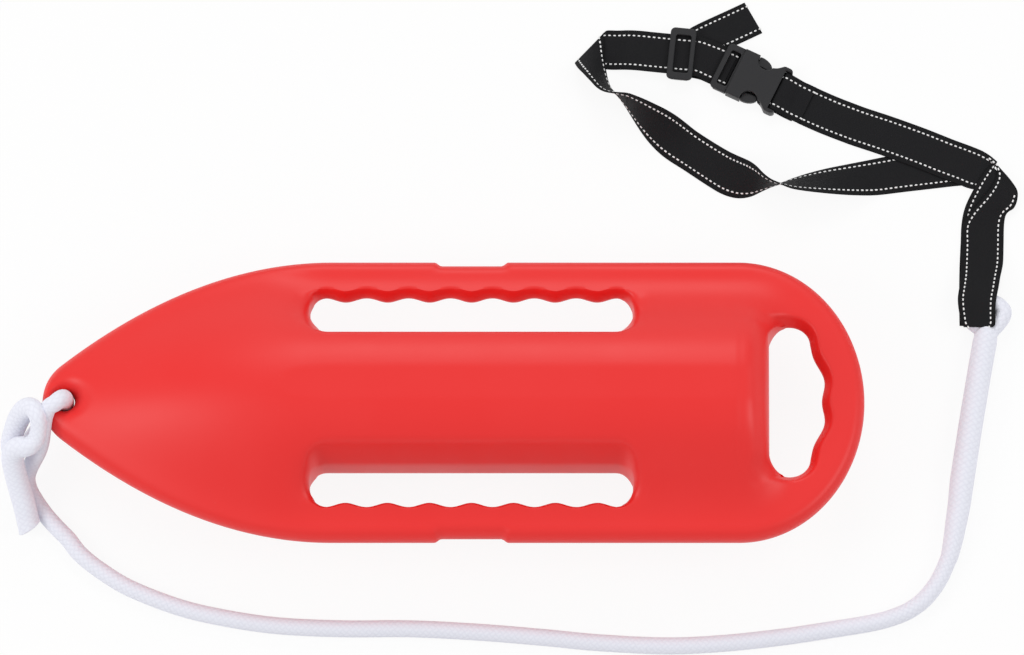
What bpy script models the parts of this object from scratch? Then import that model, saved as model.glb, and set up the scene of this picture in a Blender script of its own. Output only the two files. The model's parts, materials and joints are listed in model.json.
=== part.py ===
# Lifeguard's rescue float: one-piece moulded hull with three hand grips, its tow rope and shoulder strap.
# Metres, +Z up. The hull lies along X with its bow at -X and its keel resting on z = 0 below its middle.
import math

import bmesh
import bpy
import numpy as np
from mathutils import Vector
from mathutils.geometry import delaunay_2d_cdt

# Hull sizes
FLOAT_LENGTH = 0.742
FLOAT_BEAM = 0.263
FLOAT_HEIGHT = 0.130
NOSE_RADIUS = 0.043
NOSE_LENGTH = 0.261
STERN_LENGTH = 0.1135
RIM_THICKNESS = 0.026
CORE_WIDTH = 0.181
CORE_RISE_LENGTH = 0.235
CROWN_RISE = 0.0008
CORE_SQUARENESS = 2.6
FILLET_SPAN = 0.012
EDGE_SHARE = 0.8
NOSE_ARCH_SHARE = 0.94
NOSE_ARCH_BLEND = 0.075

# Side grips
GRIP_LENGTH = 0.291
GRIP_CENTRE_X = 0.0163
GRIP_INNER_Y = 0.063
SIDE_RAIL_WIDTH = 0.0328
GRIP_END_RADIUS = 0.016
SCALLOP_PITCH = 0.03785
SCALLOP_DEPTH = 0.004
SCALLOPS = 7
NOTCH_LENGTH = 0.060
NOTCH_DEPTH = 0.0035
NOTCH_RAMP = 0.006

# Stern grip
TRANSOM_FROM_STERN = 0.086
STERN_GRIP_WIDTH = 0.141
STERN_RIM_WIDTH = 0.0345
STERN_SCALLOP_PITCH = 0.041
TRANSOM_EDGE_RADIUS = 0.024
STERN_CORNER_RADIUS = 0.012

# Bow eye and blow hole
EYE_FROM_TIP = 0.0198
EYE_DIAMETER = 0.019
BLOW_HOLE_X = 0.205
BLOW_HOLE_DIAMETER = 0.0146
BLOW_HOLE_DEPTH = 0.006
PLUG_CLEARANCE = 0.0003
PLUG_SINK = 0.0006

# Hull mesh
OUTLINE_STEP = 0.0105
INNER_STEP = 0.013
FACE_STEP = 0.016
EDGE_ANGLES = (22, 45, 67, 90)
FOOT_STEP = 0.013
FOOT_SPACE = 0.0065
RING_SPACE = 0.0009
LAND_HALF_WIDTH = 0.0105

# Rope
ROPE_DIAMETER = 0.0154
SPLICE_DIAMETER = 0.022
TAIL_END_DIAMETER = 0.019
KNOT_STRAND_DIAMETER = 0.0125
KNOT_WRAP_DIAMETER = 0.013
KNOT_WRAP_REACH = 0.0145
KNOT_WRAP_DEPTH = 0.0105
JOIN_GAP = 0.0003
LEAD_IN = 0.003
EYE_LEG_SPACING = 0.0116

# Webbing
STRAP_WIDTH = 0.038
STRAP_THICKNESS = 0.0014
ANCHOR_LOOP_WIDTH = 0.0130
ANCHOR_LOOP_THICKNESS = 0.0024
STRAP_STEP = 0.009

# Buckle, set on the line of its own pull
BUCKLE_X = 0.256
BUCKLE_Y = 0.332
BUCKLE_HEADING = math.radians(-25.7)
BUCKLE_WIDTH = 0.046
BUCKLE_HEIGHT = 0.0116
SOCKET_WALL = 0.0022
SOCKET_SIDE_WALL = 0.0028
SOCKET_LENGTH = 0.042
EAR_LENGTH = 0.0062
SLOT_MARGIN = 0.0005
PLUG_FRAME_LENGTH = 0.016
PLUG_BAR_DIAMETER = 0.0026
PLUG_BAR_FROM_MOUTH = 0.0046
SOCKET_BAR_DIAMETER = 0.0032
PRONG_LENGTH = 0.0265
PRONG_THICKNESS = 0.0034
LATCH_DEPTH = 0.00062
RUNNING_GAP = 0.0003

# Strap slider
SLIDER_X = 0.207
SLIDER_Y = 0.348
SLIDER_HEADING = math.radians(-6)
SLIDER_LENGTH = 0.023
SLIDER_BAR_WIDTH = 0.0034
SLIDER_BAR_HEIGHT = 0.0024
SLIDER_RAIL_WIDTH = 0.0030

# Values worked out from the sizes above
HALF_LENGTH = FLOAT_LENGTH / 2
HALF_BEAM = FLOAT_BEAM / 2
MID_Z = FLOAT_HEIGHT / 2
EYE_X = EYE_FROM_TIP - HALF_LENGTH
TRANSOM_X = HALF_LENGTH - TRANSOM_FROM_STERN
STERN_CENTRE_X = HALF_LENGTH - STERN_LENGTH
SHOULDER_X = NOSE_LENGTH - HALF_LENGTH
NOSE_CENTRE_X = NOSE_RADIUS - HALF_LENGTH
ROPE_RADIUS = ROPE_DIAMETER / 2
SOFT_LAYER = STRAP_THICKNESS + JOIN_GAP
SLOT_HALF = STRAP_WIDTH / 2 + SLOT_MARGIN


def clear_scene():
    for old in list(bpy.data.objects):
        bpy.data.objects.remove(old, do_unlink=True)


def finish(name, colour, roughness, metallic=0.0):
    """Makes a plain Principled material."""
    made = bpy.data.materials.new(name)
    made.use_nodes = True
    shader = made.node_tree.nodes["Principled BSDF"]
    shader.inputs["Base Color"].default_value = (*colour, 1)
    shader.inputs["Roughness"].default_value = roughness
    shader.inputs["Metallic"].default_value = metallic
    return made


def add_object(name, mesh, material=None, smooth_angle=40):
    thing = bpy.data.objects.new(name, mesh)
    bpy.context.scene.collection.objects.link(thing)
    if material is not None:
        mesh.materials.append(material)
    mesh.shade_smooth()
    mesh.set_sharp_from_angle(angle=math.radians(smooth_angle))
    return thing


def mesh_from(name, points, faces):
    mesh = bpy.data.meshes.new(name)
    mesh.from_pydata([tuple(p) for p in points], [], faces)
    mesh.validate()
    mesh.update()
    return mesh


def baked(thing):
    """Returns a mesh of the object with its modifiers applied and its place kept."""
    graph = bpy.context.evaluated_depsgraph_get()
    mesh = bpy.data.meshes.new_from_object(thing.evaluated_get(graph))
    mesh.transform(thing.matrix_world)
    return mesh


def as_cutter(thing):
    thing.hide_render = True
    thing.display_type = "WIRE"
    return thing


def combine(target, tool, operation):
    step = target.modifiers.new(operation.title() + " " + tool.name, "BOOLEAN")
    step.operation = operation
    step.solver = "EXACT"
    step.object = as_cutter(tool)


# The hull's shape as formulas


def nose_tangent():
    """Where the side curve leaves the nose arc, and how fast that curve closes in."""
    low, high = 0.0, NOSE_RADIUS * 0.999
    for _ in range(60):
        back = (low + high) / 2
        rise = math.sqrt(NOSE_RADIUS**2 - back**2)
        reach = SHOULDER_X - NOSE_CENTRE_X + back
        if HALF_BEAM - back * reach / (2 * rise) - rise > 0:
            low = back
        else:
            high = back
    return NOSE_CENTRE_X - back, back / (2 * reach * rise)


NOSE_TANGENT_X, SIDE_CURVE = nose_tangent()


def half_beam_at(x):
    """Half the plain outline's width at x."""
    if x < NOSE_TANGENT_X:
        return math.sqrt(max(NOSE_RADIUS**2 - (x - NOSE_CENTRE_X) ** 2, 0))
    if x < SHOULDER_X:
        return HALF_BEAM - SIDE_CURVE * (SHOULDER_X - x) ** 2
    if x < STERN_CENTRE_X:
        return HALF_BEAM
    share = min((x - STERN_CENTRE_X) / STERN_LENGTH, 1)
    return HALF_BEAM * math.sqrt(1 - share**2)


def eased(value):
    value = min(max(value, 0), 1)
    return value * value * (3 - 2 * value)


def notch_at(x):
    """Depth of the shallow thumb notch in the middle of each rail's outer edge."""
    off = abs(x - GRIP_CENTRE_X) - NOTCH_LENGTH / 2
    return NOTCH_DEPTH * (1 - eased(off / NOTCH_RAMP + 0.5))


def smooth_union(a, b, span):
    overlap = max(span - abs(a - b), 0) / span
    return max(a, b) + overlap * overlap * span / 4


def full_height(x, y):
    """Half the hull's thickness before its edges are rounded."""
    rise = 1.0
    along = (x + HALF_LENGTH) / CORE_RISE_LENGTH
    if along < 1:
        rise = math.sin(math.pi / 2 * max(along, 0)) ** 1.25
    past_grip = eased((abs(y) - STERN_GRIP_WIDTH / 2 + TRANSOM_EDGE_RADIUS) / TRANSOM_EDGE_RADIUS)
    fall_centre = TRANSOM_X + TRANSOM_EDGE_RADIUS * (1 - past_grip)
    rise *= 1 - eased((x - fall_centre + TRANSOM_EDGE_RADIUS) / (2 * TRANSOM_EDGE_RADIUS))
    rim = RIM_THICKNESS / 2
    top = rim + (MID_Z + CROWN_RISE - rim) * rise
    beam = half_beam_at(x)
    half_core = CORE_WIDTH / 2 * (beam / HALF_BEAM if x < SHOULDER_X else 1)
    core = rim + (top - rim) * (1 - (abs(y) / max(half_core, 0.001)) ** CORE_SQUARENESS)
    firm = smooth_union(rim, core, max(FILLET_SPAN * rise, 0.0001))
    share = abs(y) / max(NOSE_ARCH_SHARE * beam, 0.001)
    arch = rim + (top - rim) * max(1 - share**2, 0) ** 1.5
    to_arch = 1 - eased((x - SHOULDER_X + NOSE_ARCH_BLEND) / NOSE_ARCH_BLEND)
    return min(firm + (arch - firm) * to_arch, MID_Z)


def outline_loop():
    """The hull's outer edge, clockwise from the stern, with denser points round the ends."""
    xs = []
    steps = round(FLOAT_LENGTH / OUTLINE_STEP)
    for i in range(steps + 1):
        xs.append(-HALF_LENGTH * math.cos(math.pi * i / steps))
    ramps = [GRIP_CENTRE_X + side * (NOTCH_LENGTH / 2 + part * NOTCH_RAMP)
             for side in (-1, 1) for part in (-0.5, -0.2, 0.2, 0.5)]
    near = [x for x in xs if all(abs(x - r) > 0.003 for r in ramps)]
    xs = sorted(near + ramps)
    upper = [(x, half_beam_at(x) - notch_at(x)) for x in xs]
    upper[0] = (-HALF_LENGTH, 0)
    upper[-1] = (HALF_LENGTH, 0)
    return upper + [(x, -y) for x, y in reversed(upper[1:-1])]


def corner_arc(centre, radius, start, end, count):
    """Points on an arc, angles in degrees, both ends included."""
    found = []
    for i in range(count + 1):
        turn = math.radians(start + (end - start) * i / count)
        found.append((centre[0] + radius * math.cos(turn), centre[1] + radius * math.sin(turn)))
    return found


def side_grip_loop():
    """The upper side grip's edge: straight beside the core, finger scallops along the rail."""
    left = GRIP_CENTRE_X - GRIP_LENGTH / 2
    right = GRIP_CENTRE_X + GRIP_LENGTH / 2
    outer = HALF_BEAM - SIDE_RAIL_WIDTH
    radius = min(GRIP_END_RADIUS, (outer - GRIP_INNER_Y) / 2)
    span = right - left - 2 * radius
    points = []
    count = round(span / (SCALLOP_PITCH / 9))
    for i in range(count + 1):
        x = right - radius - span * i / count
        off = x - GRIP_CENTRE_X
        inside = abs(off) <= SCALLOPS * SCALLOP_PITCH / 2
        wave = 0.5 + 0.5 * math.cos(2 * math.pi * off / SCALLOP_PITCH) if inside else 0
        points.append((x, outer - SCALLOP_DEPTH * wave))
    points += corner_arc((left + radius, outer - radius), radius, 90, 180, 5)[1:]
    points += corner_arc((left + radius, GRIP_INNER_Y + radius), radius, 180, 270, 5)
    count = round(span / INNER_STEP)
    points += [(left + radius + span * i / count, GRIP_INNER_Y) for i in range(1, count)]
    points += corner_arc((right - radius, GRIP_INNER_Y + radius), radius, 270, 360, 5)
    points += corner_arc((right - radius, outer - radius), radius, 0, 90, 5)[:-1]
    return points


def stern_grip_loop():
    """The D-shaped stern grip: straight at the transom, three scallops along the stern rim."""
    half = STERN_GRIP_WIDTH / 2
    radius = STERN_CORNER_RADIUS
    deep = STERN_LENGTH - STERN_RIM_WIDTH
    wide = HALF_BEAM - STERN_RIM_WIDTH

    def rim_x(y):
        wave = 0.5 + 0.5 * math.cos(2 * math.pi * y / STERN_SCALLOP_PITCH)
        return STERN_CENTRE_X + deep * math.sqrt(max(1 - (y / wide) ** 2, 0)) - SCALLOP_DEPTH * wave

    shoulder = half - radius * 0.8
    edge_x = rim_x(shoulder) - radius * 0.9
    points = []
    count = 26
    for i in range(count + 1):
        y = shoulder - 2 * shoulder * i / count
        points.append((rim_x(y), y))
    lower = []
    for turn in (25, 50, 75):
        angle = math.radians(turn)
        reach = rim_x(shoulder) - edge_x
        lower.append((edge_x + reach * math.cos(angle), -shoulder - (half - shoulder) * math.sin(angle)))
    points += lower
    points.append((edge_x, -half))
    points += corner_arc((TRANSOM_X + radius, radius - half), radius, 270, 180, 5)
    rows = round((STERN_GRIP_WIDTH - 2 * radius) / INNER_STEP)
    for i in range(1, rows):
        points.append((TRANSOM_X, radius - half + (STERN_GRIP_WIDTH - 2 * radius) * i / rows))
    points += corner_arc((TRANSOM_X + radius, half - radius), radius, 180, 90, 5)
    points.append((edge_x, half))
    points += [(x, -y) for x, y in reversed(lower)]
    return points


def eye_loop():
    return corner_arc((EYE_X, 0), EYE_DIAMETER / 2, 0, 360, 20)[:-1]


def loop_normals(loop, outward, reach):
    """Unit normals into the material, from tangents taken over a few points so that scallops don't fan."""
    points = np.array(loop)
    tangent = np.roll(points, -reach, 0) - np.roll(points, reach, 0)
    tangent /= np.linalg.norm(tangent, axis=1)[:, None]
    normal = np.stack([-tangent[:, 1], tangent[:, 0]], 1)
    nxt = np.roll(points, -1, 0)
    area = float(np.sum(points[:, 0] * nxt[:, 1] - nxt[:, 0] * points[:, 1]))
    turn = 1 if area > 0 else -1
    return normal * turn * (-1 if outward else 1)


def distances(points, loop):
    """Distance from each point to a closed polyline."""
    start = np.array(loop)
    step = np.roll(start, -1, 0) - start
    length = np.maximum((step**2).sum(1), 1e-12)
    away = points[:, None, :] - start[None]
    share = np.clip((away * step[None]).sum(2) / length, 0, 1)
    near = away - share[..., None] * step[None]
    return np.sqrt((near**2).sum(2).min(1))


def is_inside(points, loop):
    start = np.array(loop)
    end = np.roll(start, -1, 0)
    px, py = points[:, 0][:, None], points[:, 1][:, None]
    crosses = (start[:, 1] > py) != (end[:, 1] > py)
    rise = np.where(end[:, 1] == start[:, 1], 1e-12, end[:, 1] - start[:, 1])
    at = start[:, 0] + (py - start[:, 1]) * (end[:, 0] - start[:, 0]) / rise
    return (crosses & (px < at)).sum(1) % 2 == 1


def edge_radii(points, nearest, second):
    """How far from an edge the hull's rounding reaches at each point."""
    found = []
    for (x, y), first, other in zip(points, nearest, second):
        cap = TRANSOM_EDGE_RADIUS + 0.6 * max(TRANSOM_X - 0.03 - x, 0)
        found.append(min(EDGE_SHARE * full_height(x, y), cap, (first + other) / 2))
    return np.array(found)


def sorted_distances(points, loops):
    every = np.sort(np.stack([distances(points, loop) for loop in loops]), axis=0)
    return every[0], every[1]


def foot_lines():
    """Points along the foot of the core, where it meets the rim, and over the transom's fall."""
    found = []
    for side in (-1, 1):
        for share in (0.8, 0.91, 0.99, 1.05, 1.16):
            steps = round((TRANSOM_X - SHOULDER_X) / FOOT_STEP)
            for i in range(steps):
                x = SHOULDER_X - NOSE_ARCH_BLEND / 2 + i * FOOT_STEP
                found.append((x, side * share * CORE_WIDTH / 2 * min(half_beam_at(x) / HALF_BEAM, 1)))
        for share in (-1.2, -0.8, -0.4, 0, 0.4, 0.8, 1.2):
            for y in (0.068, 0.076, 0.085, 0.094, 0.103):
                found.append((TRANSOM_X + share * TRANSOM_EDGE_RADIUS, side * y))
        steps = round(FLOAT_LENGTH / FACE_STEP)
        for i in range(steps):
            found.append((0.03 - HALF_LENGTH + i * FACE_STEP, side * LAND_HALF_WIDTH))
    return found


def spaced(taken, offered, least):
    """The offered points that keep this distance from those already taken and from each other."""
    cells = {}
    for x, y in taken:
        cells.setdefault((int(x // least), int(y // least)), []).append((x, y))
    found = []
    for x, y in offered:
        column, row = int(x // least), int(y // least)
        near = [p for i in (-1, 0, 1) for k in (-1, 0, 1) for p in cells.get((column + i, row + k), [])]
        if all((x - px) ** 2 + (y - py) ** 2 > least**2 for px, py in near):
            found.append((x, y))
            cells.setdefault((column, row), []).append((x, y))
    return found


def in_material(points, loops, margin):
    points = np.array(points)
    holes = np.any([is_inside(points, loop) for loop in loops[1:]], axis=0)
    return points[is_inside(points, loops[0]) & ~holes & (sorted_distances(points, loops)[0] > margin)]


def edge_rings(loops):
    """Rows of points inside every edge, closer together towards it, as its rounding needs."""
    rings = []
    for index, (loop, reach) in enumerate(zip(loops, (2, 4, 4, 3, 1))):
        normals = loop_normals(loop, index > 0, reach)
        spots = np.array(loop)
        others = [other for k, other in enumerate(loops) if k != index]
        nearest_other = np.min([distances(spots, other) for other in others], axis=0)
        first = edge_radii(spots, np.zeros(len(loop)), nearest_other)
        further = spots + normals * first[:, None] * 0.8
        radii = np.minimum(edge_radii(further, nearest_other, nearest_other), nearest_other / 2)
        for angle in EDGE_ANGLES:
            share = 1 - math.cos(math.radians(angle))
            row = spots + normals * (radii * share * 0.98)[:, None]
            thin = 2 if angle > 50 and len(loop) > 60 and index > 0 else 1
            rings.append([tuple(p) for p in row[::thin]])
    return rings


def hull_mesh():
    """Rings of points follow every edge, a triangular grid fills the rest, and both faces share the edges."""
    grip = side_grip_loop()
    mirrored = [(x, -y) for x, y in reversed(grip)]
    loops = [outline_loop(), grip, mirrored, stern_grip_loop(), eye_loop()]
    points, edges = [], []
    for loop in loops:
        first = len(points)
        points += loop
        edges += [(first + i, first + (i + 1) % len(loop)) for i in range(len(loop))]
    edge_count = len(points)
    inner = []
    for ring in edge_rings(loops):
        inner += spaced(inner, [tuple(p) for p in in_material(ring, loops, 0.0004)], RING_SPACE)
    inner += spaced(inner, [tuple(p) for p in in_material(foot_lines(), loops, 0.006)], FOOT_SPACE)
    row_height = FACE_STEP * math.sqrt(3) / 2
    rows = int(HALF_BEAM / row_height) + 1
    columns = int(HALF_LENGTH / FACE_STEP) + 1
    grid = []
    for row in range(-rows, rows + 1):
        for column in range(-columns, columns + 1):
            grid.append(((column + 0.5 * (row % 2)) * FACE_STEP, row * row_height))
    inner += spaced(inner, [tuple(p) for p in in_material(grid, loops, 0.006)], 0.6 * FACE_STEP)
    points += inner

    flat, _, faces, origins, _, _ = delaunay_2d_cdt([Vector(p) for p in points], edges, [], 0, 1e-7)
    spots = np.array([(p.x, p.y) for p in flat])
    on_edge = np.array([any(o < edge_count for o in origin) for origin in origins])
    nearest, second = sorted_distances(spots, loops)
    radii = edge_radii(spots, nearest, second)
    share = np.clip(nearest / np.maximum(radii, 1e-6), 0, 1)
    rounded = np.sqrt(np.maximum(1 - (1 - share) ** 2, 0))
    full = np.array([full_height(x, y) for x, y in spots])
    height = np.where(on_edge, 0.0, full * rounded)

    centres = np.array([spots[list(face)].mean(0) for face in faces])
    kept = is_inside(centres, loops[0]) & ~np.any([is_inside(centres, loop) for loop in loops[1:]], axis=0)
    upper = [(x, y, MID_Z + h) for (x, y), h in zip(spots, height)]
    lower_index, lower = [], []
    for i, ((x, y), h) in enumerate(zip(spots, height)):
        if on_edge[i]:
            lower_index.append(i)
        else:
            lower_index.append(len(upper) + len(lower))
            lower.append((x, y, MID_Z - h))
    triangles = []
    for face, good in zip(faces, kept):
        if good:
            triangles.append(tuple(face))
            triangles.append(tuple(lower_index[i] for i in reversed(face)))
    return mesh_from("float_shell", upper + lower, triangles)


def cylinder(name, radius, start, end, sides=32):
    """A closed cylinder between two points."""
    axis = Vector(end) - Vector(start)
    mesh = bpy.data.meshes.new(name)
    bm = bmesh.new()
    bmesh.ops.create_cone(bm, cap_ends=True, segments=sides, radius1=radius, radius2=radius,
                          depth=axis.length)
    turn = Vector((0, 0, 1)).rotation_difference(axis).to_matrix().to_4x4()
    bmesh.ops.transform(bm, matrix=turn, verts=bm.verts)
    bmesh.ops.translate(bm, vec=(Vector(start) + Vector(end)) / 2, verts=bm.verts)
    bm.to_mesh(mesh)
    bm.free()
    return mesh


def float_shell(red):
    shell = add_object("float_shell", hull_mesh(), red, 60)
    hole = cylinder("blow_hole", BLOW_HOLE_DIAMETER / 2, (BLOW_HOLE_X, 0, -0.01),
                    (BLOW_HOLE_X, 0, BLOW_HOLE_DEPTH))
    combine(shell, add_object("blow_hole", hole), "DIFFERENCE")


def blow_hole_plug(red):
    """The welded-in disc that closes the blow hole, set just inside the keel's face."""
    radius = BLOW_HOLE_DIAMETER / 2 - PLUG_CLEARANCE
    ends = (BLOW_HOLE_X, 0, PLUG_SINK), (BLOW_HOLE_X, 0, BLOW_HOLE_DEPTH - PLUG_CLEARANCE)
    plug = add_object("blow_hole_plug", cylinder("blow_hole_plug", radius, *ends, sides=24), red)
    edge = plug.modifiers.new("Edge", "BEVEL")
    edge.width = 0.0006
    edge.segments = 1
    edge.limit_method = "ANGLE"


# Rope


def smooth_route(points, step):
    """Evenly spaced points on a smooth curve through rows whose first three numbers are a place."""
    rows = [np.array(p, float) for p in points]
    rows = [2 * rows[0] - rows[1]] + rows + [2 * rows[-1] - rows[-2]]
    dense = []
    for a, b, c, d in zip(rows, rows[1:], rows[2:], rows[3:]):
        for i in range(12):
            t = i / 12
            dense.append(0.5 * (2 * b + (c - a) * t + (2 * a - 5 * b + 4 * c - d) * t**2
                                + (3 * b - a - 3 * c + d) * t**3))
    dense.append(rows[-2])
    dense = np.array(dense)
    runs = np.concatenate([[0], np.cumsum(np.linalg.norm(np.diff(dense[:, :3], axis=0), axis=1))])
    count = max(round(runs[-1] / step), 1)
    places = np.linspace(0, runs[-1], count + 1)
    return np.stack([np.interp(places, runs, dense[:, k]) for k in range(dense.shape[1])], 1)


def millimetres(rows, origin=(0, 0, 0)):
    """Rows of x, y, z and more, from millimetres to metres; only the place moves to the origin given."""
    return [tuple(value / 1000 + (origin[k] if k < 3 else 0) for k, value in enumerate(row)) for row in rows]


def tube(name, rows, step, material, start=None, end=None):
    """A rope: rows are x, y, z, radius in metres. A start or end is a place and the way the rope meets it."""
    route = smooth_route(rows, step)
    if start is not None:
        route = np.vstack([meeting(start, route[0][3]), route])
    if end is not None:
        route = np.vstack([route, meeting(end, route[-1][3])[::-1]])
    curve = bpy.data.curves.new(name, "CURVE")
    curve.dimensions = "3D"
    curve.bevel_depth = ROPE_RADIUS
    curve.bevel_resolution = 4
    curve.use_fill_caps = True
    spline = curve.splines.new("POLY")
    spline.points.add(len(route) - 1)
    for point, (x, y, z, radius) in zip(spline.points, route):
        point.co = (x, y, z, 1)
        point.radius = radius / ROPE_RADIUS
    thing = bpy.data.objects.new(name, curve)
    bpy.context.scene.collection.objects.link(thing)
    curve.materials.append(material)
    return thing, route


def meeting(face, radius):
    """Two rows that leave a face squarely, with the joint's gap between."""
    place, way = face
    first = place + way * JOIN_GAP
    second = place + way * (JOIN_GAP + LEAD_IN)
    return np.array([(*first, radius), (*second, radius)])


def last_face(route):
    """The place and direction of a rope's end."""
    way = route[-1][:3] - route[-2][:3]
    return route[-1][:3], way / np.linalg.norm(way)


BOW_ORIGIN = (EYE_X, 0, MID_Z)
STRAND = KNOT_STRAND_DIAMETER * 500
# The bow loop in millimetres from the middle of the eye: tail side, down round the nose, through the eye,
# over the nose and back into the knot. The last number is the strand's radius.
BOW_LOOP = [
    (-43.8, -59, -38, STRAND), (-43.4, -51, -31.5, STRAND), (-42.7, -42, -24, STRAND),
    (-43.5, -33, -16.5, 7.2), (-44, -21, -7.5, 7.7), (-39, -8.5, -1.5, 7.7), (-32.8, -1, -6, 7.7),
    (-27.8, 1, -17.5, 7.7), (-19.5, 1.2, -25.3, 7.7), (-8.8, 1, -24.4, 7.7), (-2.4, 0.5, -16.5, 7.6),
    (-1.55, 0, -5, 7.6), (-1.55, 0, 6, 7.6), (-2.6, -1, 17.5, 7.7), (-7.6, -3.5, 24.2, 7.7),
    (-14.5, -10.5, 24.6, 7.7), (-19.5, -20.5, 17.5, 7.7),
    (-22.5, -29.5, 4.5, 7.7), (-25.5, -37, -9, 7.2), (-28.5, -43, -21, STRAND), (-30.4, -51.5, -32, STRAND),
    (-30.8, -60, -40.5, STRAND),
]
KNOT_CENTRE = (-36, -45.5, -25)
KNOT_AXIS = (-0.05, -0.68, -0.73)


def bow_knot(white):
    """The loop through the bow eye and the turn that binds it, as one tied piece."""
    loop, route = tube("bow_loop", millimetres(BOW_LOOP, BOW_ORIGIN), ROPE_DIAMETER * 0.62, white)
    axis = Vector(KNOT_AXIS).normalized()
    across = Vector((1, 0, 0)) - axis * axis.x
    across.normalize()
    other = axis.cross(across)
    curve = bpy.data.curves.new("knot_turn", "CURVE")
    curve.dimensions = "3D"
    curve.bevel_depth = KNOT_WRAP_DIAMETER / 2
    curve.bevel_resolution = 3
    spline = curve.splines.new("POLY")
    spline.use_cyclic_u = True
    count = 20
    spline.points.add(count - 1)
    centre = Vector(BOW_ORIGIN) + Vector(KNOT_CENTRE) / 1000
    for i, point in enumerate(spline.points):
        turn = 2 * math.pi * i / count
        spot = centre + across * KNOT_WRAP_REACH * math.cos(turn) + other * KNOT_WRAP_DEPTH * math.sin(turn)
        point.co = (*spot, 1)
    ring = bpy.data.objects.new("knot_turn", curve)
    bpy.context.scene.collection.objects.link(ring)
    body = add_object("bow_knot", baked(loop), white)
    turn_body = add_object("knot_turn_solid", baked(ring), white)
    bpy.data.objects.remove(loop)
    bpy.data.objects.remove(ring)
    combine(body, turn_body, "UNION")
    return last_face(route), last_face(route[::-1])


# The tow rope's own route along the ground in millimetres: x, y, height of its middle.
TOW_ROUTE = [
    (-381.4, -65.5, 18.9), (-378.3, -72.5, 13.2), (-369.5, -86, 8.3), (-359, -99, 7.8), (-350, -111, 7.8),
    (-337, -126, 7.8), (-319, -141, 7.8), (-292, -158, 7.8), (-250, -175, 7.8), (-211, -185, 7.8),
    (-160, -193, 7.8), (-100, -196, 7.8), (-40, -196, 7.8), (20, -199, 7.8), (80, -204, 7.8),
    (130, -209, 7.8), (190, -212, 7.8), (240, -210, 7.8), (295, -204, 7.8), (340, -197, 7.8),
    (380, -190, 7.8), (405, -182, 7.8), (421, -172, 7.8), (432, -160, 7.8), (440, -147, 7.8),
    (446, -133, 7.8),
]
SPLICE_ROUTE = [
    (448.2, -127.5, 8.3, 8.0), (451.2, -114, 9.3, 8.9), (454, -98, 10.1, 9.7), (457, -80, 10.7, 10.4),
    (460, -56, 11.1, 11), (464, -30, 11.1, 11), (468, -4, 11.1, 11), (472, 20, 11.1, 11), (476, 44, 11.1, 11),
    (479.5, 63, 11.1, 11), (481.3, 74.2, 11.1, 11),
]
EYE_ROUTE = [
    (475.4, 80, 9.8, 5.4), (471, 85, 9.6, 6.6), (465.3, 91.5, 9.5, 7.4), (464.2, 99, 9.5, 7.7),
    (470, 107.5, 9.5, 7.7), (480.5, 110.5, 9.5, 7.7), (491, 107, 9.5, 7.7), (496.5, 98, 9.5, 7.7),
    (495.9, 90.5, 9.5, 7.4), (491.8, 83.5, 9.6, 6.6), (488.4, 78.3, 9.8, 5.4),
]
TAIL_ROUTE = [
    (-395.3, -64.6, 22.6, 6.8), (-394.6, -71, 17, 7.6), (-392.2, -80, 11.6, 8.0),
    (-389.6, -91, 9.3, 8.7), (-386, -105, 9.7, 9.5),
]


def ropes(white):
    """Every length of the rope, each set square to the end before it."""
    standing, loose = bow_knot(white)
    rope = [(*row, ROPE_DIAMETER * 500) for row in TOW_ROUTE]
    rope[0] = (*TOW_ROUTE[0], STRAND)
    _, route = tube("tow_rope", millimetres(rope), 0.024, white, standing)
    _, route = tube("rope_splice", millimetres(SPLICE_ROUTE), 0.016, white, last_face(route))
    place, way = last_face(route)
    aside = np.cross(way, (0, 0, 1)) * EYE_LEG_SPACING / 2
    tube("rope_eye", millimetres(EYE_ROUTE), 0.006, white, (place - aside, way), (place + aside, way))
    tube("rope_tail", millimetres(TAIL_ROUTE), 0.008, white, loose)


# Webbing


def ribbon(name, places, sides, material, width=STRAP_WIDTH, thickness=STRAP_THICKNESS):
    """A strip of webbing: places along its middle, and the vector across it at each, one for a full width."""
    places = np.array(places, float)
    sides = np.array(sides, float)
    along = np.gradient(places, axis=0)
    normal = np.cross(along, sides)
    normal /= np.linalg.norm(normal, axis=1)[:, None]
    points = []
    for place, side, up in zip(places, sides, normal):
        for across, above in ((1, 1), (-1, 1), (-1, -1), (1, -1)):
            points.append(place + side * across * width / 2 + up * above * thickness / 2)
    faces = []
    for i in range(len(places) - 1):
        for k in range(4):
            a, b = 4 * i + k, 4 * i + (k + 1) % 4
            faces.append((a, b, b + 4, a + 4))
    last = 4 * (len(places) - 1)
    faces += [(3, 2, 1, 0), (last, last + 1, last + 2, last + 3)]
    mesh = mesh_from(name, points, faces)
    bm = bmesh.new()
    bm.from_mesh(mesh)
    bmesh.ops.recalc_face_normals(bm, faces=bm.faces)
    bmesh.ops.triangulate(bm, faces=bm.faces)
    bm.to_mesh(mesh)
    bm.free()
    return add_object(name, mesh, material)


def laid(rows, step=STRAP_STEP):
    """Places and side vectors from rows of x, y, ground height, side heading, roll, share of the width.

    The lower edge stays at the ground height however far the webbing rolls."""
    full = [tuple(row) + (0, 1)[len(row) - 4:] for row in rows]
    scaled = [(x / 1000, y / 1000, ground / 1000, *rest) for x, y, ground, *rest in full]
    places, sides = [], []
    for x, y, ground, side, roll, share in smooth_route(scaled, step):
        turn, tilt = math.radians(side), math.radians(roll)
        lift = abs(math.sin(tilt)) * STRAP_WIDTH / 2 * share
        places.append((x, y, ground + STRAP_THICKNESS / 2 + lift))
        sides.append((share * math.cos(turn) * math.cos(tilt), share * math.sin(turn) * math.cos(tilt),
                      share * math.sin(tilt)))
    return places, sides


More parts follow.
